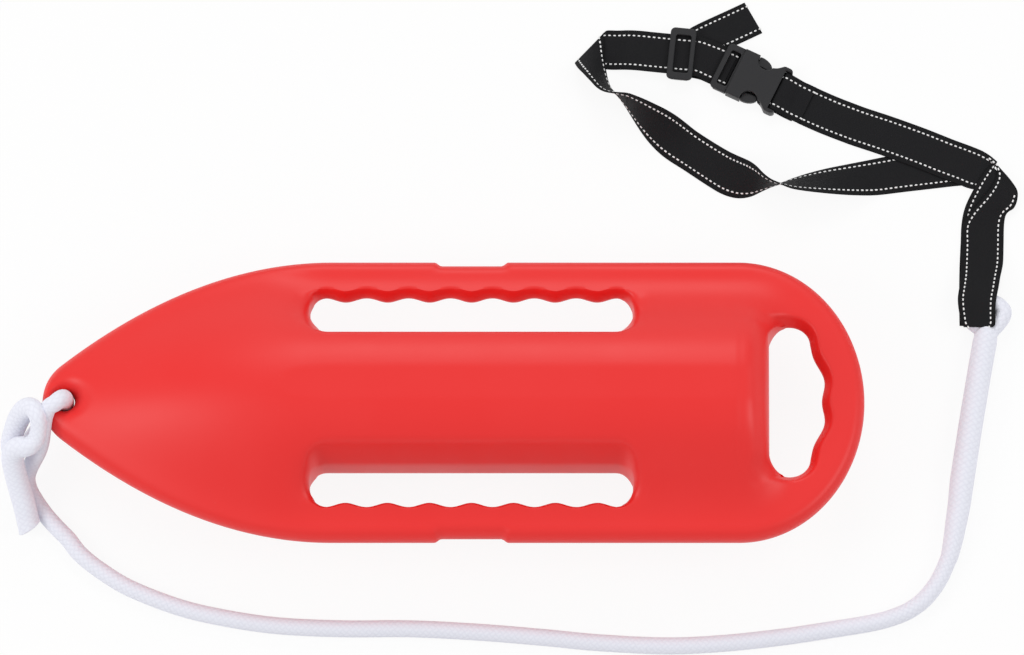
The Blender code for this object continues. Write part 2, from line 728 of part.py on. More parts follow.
# Rows of the webbing's route in millimetres and degrees, read along each run
UPPER_BAND = [
    (319.8, 301.6, 2.0, 65), (330, 297, 1.0, 66), (345, 290.5, 0.3, 67), (365, 282.5, 0.2, 68),
    (377, 278, 1.1, 69), (388, 274, 1.8, 69), (403, 268.5, 1.8, 69), (425, 260, 1.8, 69),
    (447, 250.8, 1.8, 69), (462, 244.8, 2.6, 70), (474, 240, 3.4, 71), (489, 231.5, 3.4, 73),
]
STEM_FRONT = [
    (474, 87, 17.6, 180, 0, 0.84), (473.6, 100, 17.7, 180, 0, 0.86), (474, 112, 17.4, 180, 0, 0.9),
    (475.5, 124, 14, 180, 0, 0.94), (477, 136, 9.5, 180, 0, 0.97), (478.5, 150, 4.8, 180, 0, 1),
    (480, 168, 2, 180, 0, 1), (481, 188, 1.9, 181, 0, 1), (485, 202, 3.4, 177, 0, 0.98),
    (492, 212, 5.1, 165, 0, 0.94), (498, 221, 5.1, 154, 0, 0.86), (501, 230, 5.1, 140, 0, 0.72),
    (502, 236, 5.1, 130, 0, 0.6),
]
STEM_BACK = [
    (474.5, 92, 0.1, 180, 0, 0.84), (475, 116, 0.1, 180, 0, 0.88), (477, 145, 0.1, 180, 0, 0.96),
    (479, 171, 0.1, 180, 0, 1), (479.5, 190, 0.1, 184, 0, 0.98), (482, 203, 0.6, 176, 0, 0.94),
    (488.5, 217, 1.7, 163, 0, 0.88), (495.5, 230, 1.7, 148, 0, 0.82), (499, 239, 1.7, 134, 0, 0.74),
]
LOWER_BAND = [
    (484, 247, 0, 100), (460, 244.5, 0, 96), (436, 241.3, 0, 91), (408, 237.5, 0, 84), (388, 234, 0, 79, -3),
    (370, 230.8, 0, 78, -15), (353, 228.2, 0, 81, -27), (336, 226, 0, 85, -38), (320, 223.8, 0, 87, -49),
    (307, 222, 0, 88, -60), (297, 221.4, 0, 87, -72),
]
WIDE_BAND = [
    (296.3, 221.4, 0, 87, -73), (288, 221.6, 0, 85, -83), (279, 222.6, 0, 81, -95), (268, 225, 0, 76, -111),
    (252, 232, 0, 71, -135), (239, 241, 0, 70, -157), (228, 249.3, 0, 69, -173), (215, 258.2, 0, 68, -180),
    (203, 266, 0, 66, -170), (192, 273, 0, 64, -152), (179, 282, 0, 62, -129), (168, 291, 0, 64, -111),
    (158, 299.6, 0, 71, -95),
]
STRAP_CORNER = [
    (157.5, 300, 0, 71.5, -94), (149, 306, 0, 80, -78), (141.5, 310.5, 0, 78, -67),
    (135.5, 317.5, 0.9, 67, -56), (130.5, 328.5, 1.7, 58, -45), (127, 339, 2, 53, -31),
    (124.5, 348.5, 2, 49, -13), (123, 355, 2, 47, 0),
]
TOP_BAND = [
    (124, 356.2, 0, 50, 0, 0.98), (134, 355, 0, 73), (142, 354.5, 0, 79), (149, 354, 1.4, 82),
    (158, 353.1, 4.6, 84), (168, 352.1, 6.1, 84), (180, 350.8, 6.1, 84), (207, 348, 6.1, 84),
    (222, 346.4, 6.1, 84), (232, 342.7, 5.1, 75), (242.5, 338.6, 4.1, 65),
]


def turned(origin, heading, u, v):
    """The x and y of a point u along and v across a heading."""
    return (origin[0] + u * math.cos(heading) - v * math.sin(heading),
            origin[1] + u * math.sin(heading) + v * math.cos(heading))


BUCKLE_AT = (BUCKLE_X, BUCKLE_Y)
SLIDER_AT = (SLIDER_X, SLIDER_Y)
PLUG_BAR_Z = 3 * SOFT_LAYER / 2 + PLUG_BAR_DIAMETER / 2 - JOIN_GAP / 2 - STRAP_THICKNESS / 2
SOCKET_BAR_Z = BUCKLE_HEIGHT / 2
SOCKET_BAR_U = SOCKET_LENGTH + EAR_LENGTH - SOCKET_BAR_DIAMETER / 2 - 0.0011
SLIDER_BAR_Z = SOFT_LAYER + SLIDER_BAR_HEIGHT / 2
SLIDER_TOP_Z = 2 * SOFT_LAYER + JOIN_GAP + SLIDER_BAR_HEIGHT + SOFT_LAYER + JOIN_GAP


def wrapped(origin, heading, u, z, radius, start, end, count=9):
    """Places round a bar that lies across a heading, at angles in degrees from straight ahead."""
    found = []
    for i in range(count):
        turn = math.radians(start + (end - start) * i / (count - 1))
        x, y = turned(origin, heading, u + radius * math.cos(turn), 0)
        found.append((x, y, z + radius * math.sin(turn)))
    return found


def across(heading):
    return (-math.sin(heading), math.cos(heading), 0)


def straps(black):
    for name, rows in (("strap_upper_band", UPPER_BAND), ("strap_stem_front", STEM_FRONT),
                       ("strap_stem_back", STEM_BACK), ("strap_lower_band", LOWER_BAND),
                       ("strap_wide_band", WIDE_BAND), ("strap_corner", STRAP_CORNER)):
        ribbon(name, *laid(rows), black)
    anchor_loop(black)
    top_band(black)
    return_band(black)
    strap_tail(black)
    socket_loop(black)


def anchor_loop(black):
    """The webbing gathered through the rope's eye, from under the stem's front layer to over its back one."""
    rows = [(480.7, 99, 15.6), (480.7, 95.4, 14.2), (480.7, 92.9, 11.6), (480.7, 92.2, 9.2),
            (480.7, 92.9, 6.8), (480.7, 95.4, 4.2), (480.7, 99, 2.9)]
    places = smooth_route(millimetres(rows), 0.003)
    sides = [(1, 0, 0)] * len(places)
    ribbon("strap_anchor_loop", places, sides, black, ANCHOR_LOOP_WIDTH, ANCHOR_LOOP_THICKNESS)


def top_band(black):
    """From the folded corner through the slider and on over the plug's bar."""
    places, sides = laid(TOP_BAND)
    over_bar = PLUG_BAR_Z + PLUG_BAR_DIAMETER / 2 + SOFT_LAYER - STRAP_THICKNESS / 2
    x, y = turned(BUCKLE_AT, BUCKLE_HEADING, -PLUG_BAR_FROM_MOUTH - 0.0002, 0)
    places.append((x, y, over_bar))
    sides.append(across(BUCKLE_HEADING))
    ribbon("strap_top_band", places, sides, black)


def return_band(black):
    """Round the plug's bar and back under the top band to the slider."""
    radius = PLUG_BAR_DIAMETER / 2 + SOFT_LAYER - STRAP_THICKNESS / 2
    places = wrapped(BUCKLE_AT, BUCKLE_HEADING, -PLUG_BAR_FROM_MOUTH, PLUG_BAR_Z, radius, 86, -90)
    sides = [across(BUCKLE_HEADING)] * len(places)
    back = [(244, 337.7, 0, 64.3), (236, 341.4, 0, 71), (228, 344.6, 0, 79), (219, 346.6, 0, 84),
            (208.4, 347.9, 0, 84)]
    more_places, more_sides = laid(back)
    ribbon("strap_return_band", places + more_places, sides + more_sides, black)


def strap_tail(black):
    """Round the slider's middle bar and out between the two bands, askew."""
    radius = SLIDER_BAR_HEIGHT / 2 + SOFT_LAYER - STRAP_THICKNESS / 2
    places = wrapped(SLIDER_AT, SLIDER_HEADING, 0, SLIDER_BAR_Z, radius, 270, 92)
    sides = [across(SLIDER_HEADING)] * len(places)
    rows = [(211, 347.7, 4.3, 85), (217, 347.6, 3.9, 86), (224.5, 351.8, 2.5, 93, 0, 1.08),
            (233, 359.5, 1.8, 101, 0, 1.1), (243, 367, 1.8, 108, 0, 1.05), (257, 375.5, 1.2, 113),
            (271, 382, 0.4, 115)]
    more_places, more_sides = laid(rows)
    ribbon("strap_tail", places + more_places, sides + more_sides, black)


def socket_loop(black):
    """The sewn loop that holds the socket: a short under layer, round the bar and a longer top layer."""
    radius = SOCKET_BAR_DIAMETER / 2 + SOFT_LAYER - STRAP_THICKNESS / 2
    under = SOCKET_BAR_Z - radius
    over = SOCKET_BAR_Z + radius
    lower = []
    for u, z in ((0.0655, STRAP_THICKNESS / 2), (0.0605, STRAP_THICKNESS / 2), (0.0545, 0.0014),
                 (0.0500, under - 0.0004)):
        lower.append((*turned(BUCKLE_AT, BUCKLE_HEADING, u, 0), z))
    upper = []
    for u, z in ((0.0500, over - 0.0003), (0.0550, over - 0.0025), (0.0605, over - 0.0047), (0.0655, 0.0033),
                 (0.0703, 0.0028)):
        upper.append((*turned(BUCKLE_AT, BUCKLE_HEADING, u, 0), z))
    bar = wrapped(BUCKLE_AT, BUCKLE_HEADING, SOCKET_BAR_U, SOCKET_BAR_Z, radius, 270, 90)
    places = lower + bar + upper
    ribbon("strap_socket_loop", places, [across(BUCKLE_HEADING)] * len(places), black)


# Buckle and slider


def extruded(name, outline, low, high):
    """A closed prism over an outline of x, y points, counter-clockwise seen from above."""
    count = len(outline)
    points = [(x, y, low) for x, y in outline] + [(x, y, high) for x, y in outline]
    faces = [tuple(reversed(range(count))), tuple(range(count, 2 * count))]
    faces += [(i, (i + 1) % count, (i + 1) % count + count, i + count) for i in range(count)]
    return mesh_from(name, points, faces)


def box(name, low, high):
    (x0, y0, z0), (x1, y1, z1) = low, high
    return extruded(name, [(x0, y0), (x1, y0), (x1, y1), (x0, y1)], z0, z1)


def rounded_box(half_u, low_u, high_u, radius, steps=4):
    """A plan rectangle with round corners, from low_u to high_u and half_u either side."""
    points = []
    for cu, cv, start in ((high_u - radius, half_u - radius, 0), (low_u + radius, half_u - radius, 90),
                          (low_u + radius, radius - half_u, 180), (high_u - radius, radius - half_u, 270)):
        points += corner_arc((cu, cv), radius, start, start + 90, steps)
    return points


def bevelled(thing, width, segments=2, angle=50):
    edge = thing.modifiers.new("Edge", "BEVEL")
    edge.width = width
    edge.segments = segments
    edge.limit_method = "ANGLE"
    edge.angle_limit = math.radians(angle)


def placed(name, thing, origin, heading, material):
    """Bakes a piece made along +X about its own origin, at its place on the ground."""
    mesh = baked(thing)
    for tool in list(thing.modifiers):
        if tool.type == "BOOLEAN":
            bpy.data.objects.remove(tool.object)
    bpy.data.objects.remove(thing)
    mesh.name = name
    mesh.materials.clear()
    made = add_object(name, mesh, material)
    made.location = (*origin, 0)
    made.rotation_euler = (0, 0, heading)
    return made


def socket_outline():
    """Plan of the socket: straight at the mouth, waisted behind the finger cut-outs, two ears at the bar."""
    half = BUCKLE_WIDTH / 2
    ear_end = SOCKET_LENGTH + EAR_LENGTH
    side = [(RUNNING_GAP, half), (0.014, half - 0.0003), (0.0245, half - 0.0022), (0.0290, half - 0.0055),
            (0.0318, half - 0.0060), (0.0348, half - 0.0042), (0.0378, half - 0.0006), (0.0400, half),
            (ear_end - 0.0030, half), (ear_end - 0.0010, half - 0.0009), (ear_end, half - 0.0027)]
    return list(reversed(side)) + [(u, -v) for u, v in side]


def buckle_socket(grey):
    """The female half: a flat box open at the mouth, with finger cut-outs and the bar for the webbing."""
    half = BUCKLE_WIDTH / 2
    body = add_object("socket_body", extruded("socket_body", socket_outline(), 0, BUCKLE_HEIGHT))
    bevelled(body, 0.0011)
    inner = half - SOCKET_SIDE_WALL
    low, high = SOCKET_WALL, BUCKLE_HEIGHT - SOCKET_WALL
    slot_start = SOCKET_LENGTH - 0.0026
    cuts = [
        box("channel", (-0.01, -inner, low), (0.0330, inner, high)),
        box("side_gates", (0.0170, -0.05, low), (0.0330, 0.05, high)),
        box("bar_slot", (slot_start, -SLOT_HALF, -0.01), (0.08, SLOT_HALF, high)),
        box("bar_opening", (SOCKET_LENGTH - 0.0002, -SLOT_HALF, high - 0.001), (0.08, SLOT_HALF, 0.05)),
    ]
    for side in (-1, 1):
        scoop = [(0.0243 + 0.0072 * math.cos(a), side * (half + 0.0022) + 0.0112 * math.sin(a))
                 for a in (2 * math.pi * i / 28 for i in range(28))]
        cuts.append(extruded("finger_scoop", scoop, -0.01, 0.03))
    for mesh in cuts:
        combine(body, add_object(mesh.name, mesh), "DIFFERENCE")
    bar = cylinder("socket_bar", SOCKET_BAR_DIAMETER / 2, (SOCKET_BAR_U, -half + 0.002, SOCKET_BAR_Z),
                   (SOCKET_BAR_U, half - 0.002, SOCKET_BAR_Z), 12)
    combine(body, add_object("socket_bar", bar), "UNION")
    placed("buckle_socket", body, BUCKLE_AT, BUCKLE_HEADING, grey)


PRONG_ROOT_U = 0.0045
PRONG_MID_V = 0.0156
PRONG_LOW = SOCKET_WALL + 0.0008
PRONG_HIGH = BUCKLE_HEIGHT - SOCKET_WALL - 0.0008


def buckle_plug(grey):
    """The male half's frame: outer bar, side rails, web, recessed strap bar and the middle guide."""
    half = BUCKLE_WIDTH / 2
    top = BUCKLE_HEIGHT - SOCKET_WALL - RUNNING_GAP
    rail_low = 0.0036
    nose = half - SOCKET_SIDE_WALL - RUNNING_GAP
    outline = rounded_box(half, -PLUG_FRAME_LENGTH, 0.004, 0.0045)
    frame = add_object("plug_frame", extruded("plug_frame", outline, rail_low, top))
    bevelled(frame, 0.0009)
    window = rounded_box(SLOT_HALF, 0.0034 - PLUG_FRAME_LENGTH, -0.0012, 0.0012, 2)
    band_top = PLUG_BAR_Z + PLUG_BAR_DIAMETER / 2 + SOFT_LAYER
    for mesh in (extruded("window", window, -0.01, 0.03),
                 box("band_way", (-0.03, -SLOT_HALF, -0.01), (-0.0012, SLOT_HALF, band_top)),
                 box("nose_left", (0, nose, -0.01), (0.02, 0.05, 0.03)),
                 box("nose_right", (0, -0.05, -0.01), (0.02, -nose, 0.03))):
        combine(frame, add_object(mesh.name, mesh), "DIFFERENCE")
    bar = cylinder("strap_bar", PLUG_BAR_DIAMETER / 2, (-PLUG_BAR_FROM_MOUTH, -half + 0.001, PLUG_BAR_Z),
                   (-PLUG_BAR_FROM_MOUTH, half - 0.001, PLUG_BAR_Z), 12)
    lugs = []
    for side in (-1, 1):
        inner, outer = sorted((side * (SLOT_HALF + 0.0001), side * (half - 0.0014)))
        lugs.append(box("bar_lug", (-PLUG_BAR_FROM_MOUTH - 0.0022, inner, PLUG_BAR_Z - 0.0013),
                        (-PLUG_BAR_FROM_MOUTH + 0.0022, outer, rail_low + 0.001)))
    guide = box("guide", (0.002, -0.0024, PRONG_LOW + 0.001), (0.027, 0.0024, PRONG_HIGH - 0.001))
    for mesh in (*lugs, bar, guide):
        combine(frame, add_object(mesh.name, mesh), "UNION")
    placed("buckle_plug", frame, BUCKLE_AT, BUCKLE_HEADING, grey)


def prong(side, grey):
    """One spring prong with its finger pad. Its origin is on the root that it flexes about."""
    channel = BUCKLE_WIDTH / 2 - SOCKET_SIDE_WALL
    inner = PRONG_MID_V - PRONG_THICKNESS / 2
    shoulder = 0.0225
    end = PRONG_ROOT_U + PRONG_LENGTH
    outline = [
        (PRONG_ROOT_U, inner), (0.0200, inner + 0.0004), (end - 0.0010, inner + 0.0026),
        (end, inner + 0.0040),
        (end - 0.0004, channel + 0.0008), (end - 0.0016, channel + 0.0017), (end - 0.0030, channel + 0.0018),
        (shoulder, channel + LATCH_DEPTH), (shoulder - 0.0004, channel - 0.0004),
        (0.0190, inner + PRONG_THICKNESS), (PRONG_ROOT_U, inner + PRONG_THICKNESS),
    ]
    if side < 0:
        outline = [(u, -v) for u, v in reversed(outline)]
    shifted = [(u - PRONG_ROOT_U, v - side * PRONG_MID_V) for u, v in outline]
    name = "prong_left" if side > 0 else "prong_right"
    piece = add_object("prong_blank", extruded("prong_blank", shifted, PRONG_LOW, PRONG_HIGH))
    bevelled(piece, 0.0004, 1, 30)
    root = turned(BUCKLE_AT, BUCKLE_HEADING, PRONG_ROOT_U, side * PRONG_MID_V)
    placed(name, piece, root, BUCKLE_HEADING, grey)


def strap_slider(grey):
    """The three-bar slider: outer bars over the band, middle bar under it, arched side rails."""
    half = SLIDER_LENGTH / 2
    outer_v = SLOT_HALF + 0.0003 + SLIDER_RAIL_WIDTH
    low = SOFT_LAYER
    high = SLIDER_TOP_Z + SLIDER_BAR_HEIGHT
    outline = rounded_box(outer_v, -half, half, 0.004)
    body = add_object("slider_blank", extruded("slider_blank", outline, low, high))
    bevelled(body, 0.0007)
    way = SLOT_HALF + 0.0003
    window = half - SLIDER_BAR_WIDTH
    cuts = [
        box("window", (-window, -way, -0.01), (window, way, 0.03)),
        box("band_way", (-0.03, -way, -0.01), (0.03, way, SLIDER_TOP_Z)),
    ]
    for side in (-1, 1):
        arch = [(side * 0.0026, low - 0.001), (side * 0.0800, low - 0.001), (side * 0.0800, SLIDER_TOP_Z),
                (side * 0.0078, SLIDER_TOP_Z)]
        if side < 0:
            arch = list(reversed(arch))
        cuts.append(sideways_prism("arch", arch, 0.03))
    for mesh in cuts:
        combine(body, add_object(mesh.name, mesh), "DIFFERENCE")
    bar = cylinder("middle_bar", SLIDER_BAR_HEIGHT / 2, (0, -way - 0.001, SLIDER_BAR_Z),
                   (0, way + 0.001, SLIDER_BAR_Z), 12)
    combine(body, add_object("middle_bar", bar), "UNION")
    placed("strap_slider", body, SLIDER_AT, SLIDER_HEADING, grey)


def sideways_prism(name, outline, reach):
    """A closed prism over an outline of u, z points, running across to reach on either side."""
    count = len(outline)
    points = [(u, -reach, z) for u, z in outline] + [(u, reach, z) for u, z in outline]
    faces = [tuple(range(count)), tuple(reversed(range(count, 2 * count)))]
    faces += [(i, i + count, (i + 1) % count + count, (i + 1) % count) for i in range(count)]
    return mesh_from(name, points, faces)


def main():
    clear_scene()
    red = finish("red_polyethylene", (0.80, 0.045, 0.04), 0.38)
    plug_red = finish("plug_polyethylene", (0.70, 0.04, 0.035), 0.45)
    white = finish("white_rope", (0.83, 0.82, 0.88), 0.8)
    black = finish("black_webbing", (0.014, 0.014, 0.016), 0.85)
    grey = finish("dark_buckle_plastic", (0.04, 0.04, 0.046), 0.45)
    float_shell(red)
    blow_hole_plug(plug_red)
    ropes(white)
    straps(black)
    buckle_socket(grey)
    buckle_plug(grey)
    prong(1, grey)
    prong(-1, grey)
    strap_slider(grey)


main()
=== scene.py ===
# Lifeguard's rescue float on a pale studio floor: moulded hull, tow rope, shoulder strap and buckle.
# Metres, +Z up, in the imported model's frame.
import json
import math
from types import SimpleNamespace

import bmesh
import bpy
import numpy as np
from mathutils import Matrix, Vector
from mathutils.geometry import delaunay_2d_cdt
from mathutils.kdtree import KDTree

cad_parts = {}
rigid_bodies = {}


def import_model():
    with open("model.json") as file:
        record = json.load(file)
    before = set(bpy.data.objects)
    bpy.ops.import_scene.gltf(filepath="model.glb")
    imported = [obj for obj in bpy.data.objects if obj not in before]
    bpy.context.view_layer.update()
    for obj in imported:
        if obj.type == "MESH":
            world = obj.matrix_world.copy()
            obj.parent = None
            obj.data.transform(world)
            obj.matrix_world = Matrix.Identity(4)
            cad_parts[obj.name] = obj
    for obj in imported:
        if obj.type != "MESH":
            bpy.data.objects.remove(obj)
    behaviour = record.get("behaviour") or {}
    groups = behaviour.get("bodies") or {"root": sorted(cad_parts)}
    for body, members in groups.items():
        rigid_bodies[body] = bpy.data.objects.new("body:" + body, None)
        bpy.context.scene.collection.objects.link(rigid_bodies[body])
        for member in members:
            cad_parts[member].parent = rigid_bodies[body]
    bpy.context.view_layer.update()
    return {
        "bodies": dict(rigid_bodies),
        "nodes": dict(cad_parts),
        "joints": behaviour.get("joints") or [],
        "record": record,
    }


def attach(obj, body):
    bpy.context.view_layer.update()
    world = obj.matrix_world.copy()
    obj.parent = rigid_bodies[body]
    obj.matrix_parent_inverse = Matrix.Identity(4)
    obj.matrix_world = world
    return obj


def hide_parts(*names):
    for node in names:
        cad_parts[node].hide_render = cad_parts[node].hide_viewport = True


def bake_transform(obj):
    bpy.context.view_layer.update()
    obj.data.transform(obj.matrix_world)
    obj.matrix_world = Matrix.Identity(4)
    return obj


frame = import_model()
scene = bpy.context.scene
print("frame loaded:", len(frame["nodes"]), "nodes")


# small helpers used by several pieces

def eased(value):
    value = np.clip(value, 0, 1)
    return value * value * (3 - 2 * value)


def softMax(a, b, span):
    overlap = np.maximum(span - np.abs(a - b), 0) / span
    return np.maximum(a, b) + overlap * overlap * span / 4


def softMin(a, b, span):
    return -softMax(-a, -b, span)


def unit(vectors):
    return vectors / np.linalg.norm(vectors, axis=-1, keepdims=True)


def runLength(points):
    # the length from the first point to each one
    return np.concatenate([[0], np.cumsum(np.linalg.norm(np.diff(points, axis=0), axis=1))])


def evenly(points, step):
    # the same line with even spacing; the first three numbers of a point are its place
    runs = runLength(points[:, :3])
    places = np.linspace(0, runs[-1], round(runs[-1] / step) + 1)
    return np.stack([np.interp(places, runs, column) for column in points.T], 1)


def routeThrough(rows, step):
    # evenly spaced points on a smooth curve through the rows
    rows = [np.array(row, float) for row in rows]
    rows = [2 * rows[0] - rows[1]] + rows + [2 * rows[-1] - rows[-2]]
    dense = [0.5 * (2 * b + (c - a) * t + (2 * a - 5 * b + 4 * c - d) * t**2 + (3 * b - a - 3 * c + d) * t**3)
             for a, b, c, d in zip(rows, rows[1:], rows[2:], rows[3:]) for t in np.linspace(0, 1, 17)[:-1]]
    return evenly(np.array(dense + [rows[-2]]), step)


def ringFaces(across, along):
    # quads between rings of points, with their map; across has one value more than a ring has points
    ring = len(across) - 1
    faces, maps = [], []
    for i in range(len(along) - 1):
        for k in range(ring):
            a, b = i * ring + k, i * ring + (k + 1) % ring
            faces.append((a, b, b + ring, a + ring))
            maps += [(across[k], along[i]), (across[k + 1], along[i]),
                     (across[k + 1], along[i + 1]), (across[k], along[i + 1])]
    return faces, maps


def linked(name, data):
    made = bpy.data.objects.new(name, data)
    scene.collection.objects.link(made)
    return made


def meshPiece(name, points, faces, material, sharpAngle=50, maps=None):
    # maps has a pair of numbers for each corner of each face; a mapped piece gets its faces turned outwards
    mesh = bpy.data.meshes.new(name)
    mesh.from_pydata([tuple(p) for p in points], [], faces)
    mesh.update()
    mesh.materials.append(material)
    mesh.shade_smooth()
    mesh.set_sharp_from_angle(angle=math.radians(sharpAngle))
    if maps:
        mesh.uv_layers.new(name="UVMap").data.foreach_set("uv", np.array(maps, np.float32).ravel())
        made = bmesh.new()
        made.from_mesh(mesh)
        bmesh.ops.recalc_face_normals(made, faces=made.faces)
        made.to_mesh(mesh)
        made.free()
    return linked(name, mesh)


def evaluatedMesh(holder):
    # the plain mesh of a curve or of an object with modifiers, which is then removed
    graph = bpy.context.evaluated_depsgraph_get()
    mesh = bpy.data.meshes.new_from_object(holder.evaluated_get(graph))
    bpy.data.objects.remove(holder)
    return mesh


def finished(piece, body, slot, *replaced):
    # body is a name, or two names and two places, for which the piece is left where it is, not attached to a body
    if isinstance(body, str):
        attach(piece, body)
    else:
        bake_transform(piece)
    if replaced:
        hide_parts(*replaced)


# shader groups shared by the materials

def feed(value, slot):
    # a wire, an output or a node's first output is joined to the socket; a number or a colour is set on it
    value = getattr(value, "socket", value)
    if isinstance(value, bpy.types.Node):
        value = value.outputs[0]
    if isinstance(value, bpy.types.NodeSocket):
        slot.id_data.links.new(value, slot)
    elif value is not None:
        slot.default_value = value


def addNode(tree, kind, inputs={}, **settings):
    made = tree.nodes.new(kind)
    for key, value in settings.items():
        setattr(made, key, value)
    for label, value in inputs.items():
        feed(value, made.inputs[label])
    return made


class Wire:
    # an output in a node tree; arithmetic on it adds Math nodes
    def __init__(self, socket):
        self.socket, self.tree = socket, socket.id_data

    def math(self, operation, other=None, clamp=False, swap=False):
        inputs = {0: other, 1: self} if swap else {0: self, 1: other}
        made = addNode(self.tree, "ShaderNodeMath", inputs, operation=operation, use_clamp=clamp)
        return Wire(made.outputs[0])

    def __add__(self, other):
        return self.math("ADD", other)

    def __sub__(self, other):
        return self.math("SUBTRACT", other)

    def __mul__(self, other):
        return self.math("MULTIPLY", other)

    def __truediv__(self, other):
        return self.math("DIVIDE", other)


def mixed(factor, a, b):
    return Wire(addNode(factor.tree, "ShaderNodeMix", {0: factor, 6: a, 7: b}, data_type="RGBA").outputs[2])


def noise(vector, scale, detail=2.0, rough=0.5):
    inputs = {"Vector": vector, "Scale": scale, "Detail": detail, "Roughness": rough}
    return Wire(addNode(vector.tree, "ShaderNodeTexNoise", inputs).outputs["Fac"])


def newTree(name, kind, inputs, outputs):
    # what a label stands for is the kind of its socket, or an input's first value: a colour or a number
    tree = bpy.data.node_groups.new(name, kind)
    for label, value in inputs.items():
        given = value if isinstance(value, str) else "Color" if isinstance(value, tuple) else "Float"
        made = tree.interface.new_socket(label, in_out="INPUT", socket_type="NodeSocket" + given)
        if given != value:
            made.default_value = value
    for label, given in outputs.items():
        tree.interface.new_socket(label, in_out="OUTPUT", socket_type="NodeSocket" + given)
    sources = addNode(tree, "NodeGroupInput").outputs
    return tree, {label: Wire(sources[label]) for label in inputs}


def newGroup(name, inputs):
    return newTree(name, "ShaderNodeTree", {"Vector": "Vector", **inputs},
                   {"Colour": "Color", "Roughness": "Float", "Height": "Float"})


def mouldedSkinGroup(inputs):
    # cloudy colour, fine grain and a few pale moulding specks, as on a moulded plastic skin
    tree, given = newGroup("moulded skin", inputs)
    vector, worn = given["Vector"], given["Worn Colour"]
    cloud = noise(vector, 9.0, 3.0, 0.6)
    grain = noise(vector, 900.0, 2.0, 0.6)
    ripple = noise(vector, 38.0)
    cells = addNode(tree, "ShaderNodeTexVoronoi", {"Vector": vector, "Scale": given["Speck Size"]}, feature="F1")
    nearSpeck = Wire(cells.outputs["Distance"]).math("LESS_THAN", 0.055)
    speck = nearSpeck * noise(vector, 21.0, 0.0).math("GREATER_THAN", 0.60)
    shade = cloud.math("SUBTRACT", 0.42, clamp=True) * 0.22
    addNode(tree, "NodeGroupOutput", {
        "Colour": mixed(speck * 0.5, mixed(shade, given["Colour"], worn), worn),
        "Roughness": given["Roughness"] + (cloud - 0.5) * 0.16 + grain * 0.05,
        "Height": grain * 0.10 + ripple * 0.7 + speck * 0.6})
    return tree


def braidGroup(inputs):
    # crossing strands of a hollow braid, from a piece's own map: x round the rope, y along it; the colour darkens
    # into the grooves between strands as painted shade
    tree, given = newGroup("hollow braid", inputs)
    place = addNode(tree, "ShaderNodeSeparateXYZ", {0: given["Vector"]}).outputs
    turn = Wire(place["X"]) * given["Strands"]
    along = Wire(place["Y"]) / given["Lay Length"] * given["Strands"]
    left, right = turn + along, turn - along

    def ridge(value):
        # 1 on the middle of a strand, 0 in the groove beside it
        return (value.math("PINGPONG", 0.5) * 2.0).math("POWER", 0.6)

    def parity(value):
        return (value + 4000.0).math("FLOOR").math("MODULO", 2.0)

    over = (parity(left) - parity(right)).math("ABSOLUTE")
    height = ridge(left) * over + ridge(right) * over.math("SUBTRACT", 1.0, swap=True)
    fibre = noise(Wire(addNode(tree, "ShaderNodeCombineXYZ", {0: left * 9.0, 1: right * 9.0}).outputs[0]), 1.0)
    # painted shade: the colour turns darker towards the grooves between the strands
    groove = height.math("SUBTRACT", 1.0, clamp=True, swap=True)
    addNode(tree, "NodeGroupOutput", {
        "Colour": mixed(groove * 0.45, given["Colour"], given["Groove Colour"]),
        "Roughness": fibre * 0.2 + 0.72, "Height": height + fibre * 0.35})
    return tree


def webWeaveGroup(inputs):
    # ribs across the strap and yarns along it, from the piece's own map in metres, with a painted sheen on the raised
    # yarns
    tree, given = newGroup("webbing weave", inputs)
    place = addNode(tree, "ShaderNodeSeparateXYZ", {0: given["Vector"]}).outputs
    x = Wire(place["X"])
    across, along = x / given["Yarn Pitch"], Wire(place["Y"]) / given["Yarn Pitch"]
    warp = across.math("PINGPONG", 0.5) * 2.0
    weft = (along + across.math("FLOOR") * 0.5).math("PINGPONG", 0.5) * 2.0
    height = warp.math("POWER", 0.5) * weft.math("POWER", 0.5)
    # painted highlight: the raised yarns, mixed with random tone, turn towards the sheen colour over all but the
    # strap's edges, which stay darker
    middle = (x.math("ABSOLUTE") / given["Width"]).math("LESS_THAN", 0.40)
    cloud = noise(given["Vector"], 60.0)
    lift = ((height * 0.5 + cloud) * middle).math("MULTIPLY", 0.8, clamp=True)
    addNode(tree, "NodeGroupOutput", {"Colour": mixed(lift, given["Colour"], given["Sheen Colour"]),
                                      "Roughness": cloud * 0.2 + 0.66, "Height": height})
    return tree


def materialWith(name, inputs):
    # inputs come from a function of the new material's tree, and go on its Principled BSDF
    made = bpy.data.materials.new(name)
    made.use_nodes = True
    for label, value in inputs(made.node_tree).items():
        feed(value, made.node_tree.nodes["Principled BSDF"].inputs[label])
    return made


def finishWith(name, group, settings, source, bump, sheen=0.0, specular=0.5):
    # source is "Object" or "UV"; bump is the height's distance in metres
    def inputs(tree):
        place = addNode(tree, "ShaderNodeTexCoord").outputs[source]
        effect = addNode(tree, "ShaderNodeGroup", {"Vector": place, **settings}, node_tree=group)
        relief = addNode(tree, "ShaderNodeBump", {"Strength": 1.0, "Distance": bump,
                                                  "Height": effect.outputs["Height"]})
        return {"Base Color": effect.outputs["Colour"], "Roughness": effect.outputs["Roughness"], "Normal": relief,
                "Specular IOR Level": specular, "Sheen Weight": sheen}
    return materialWith(name, inputs)


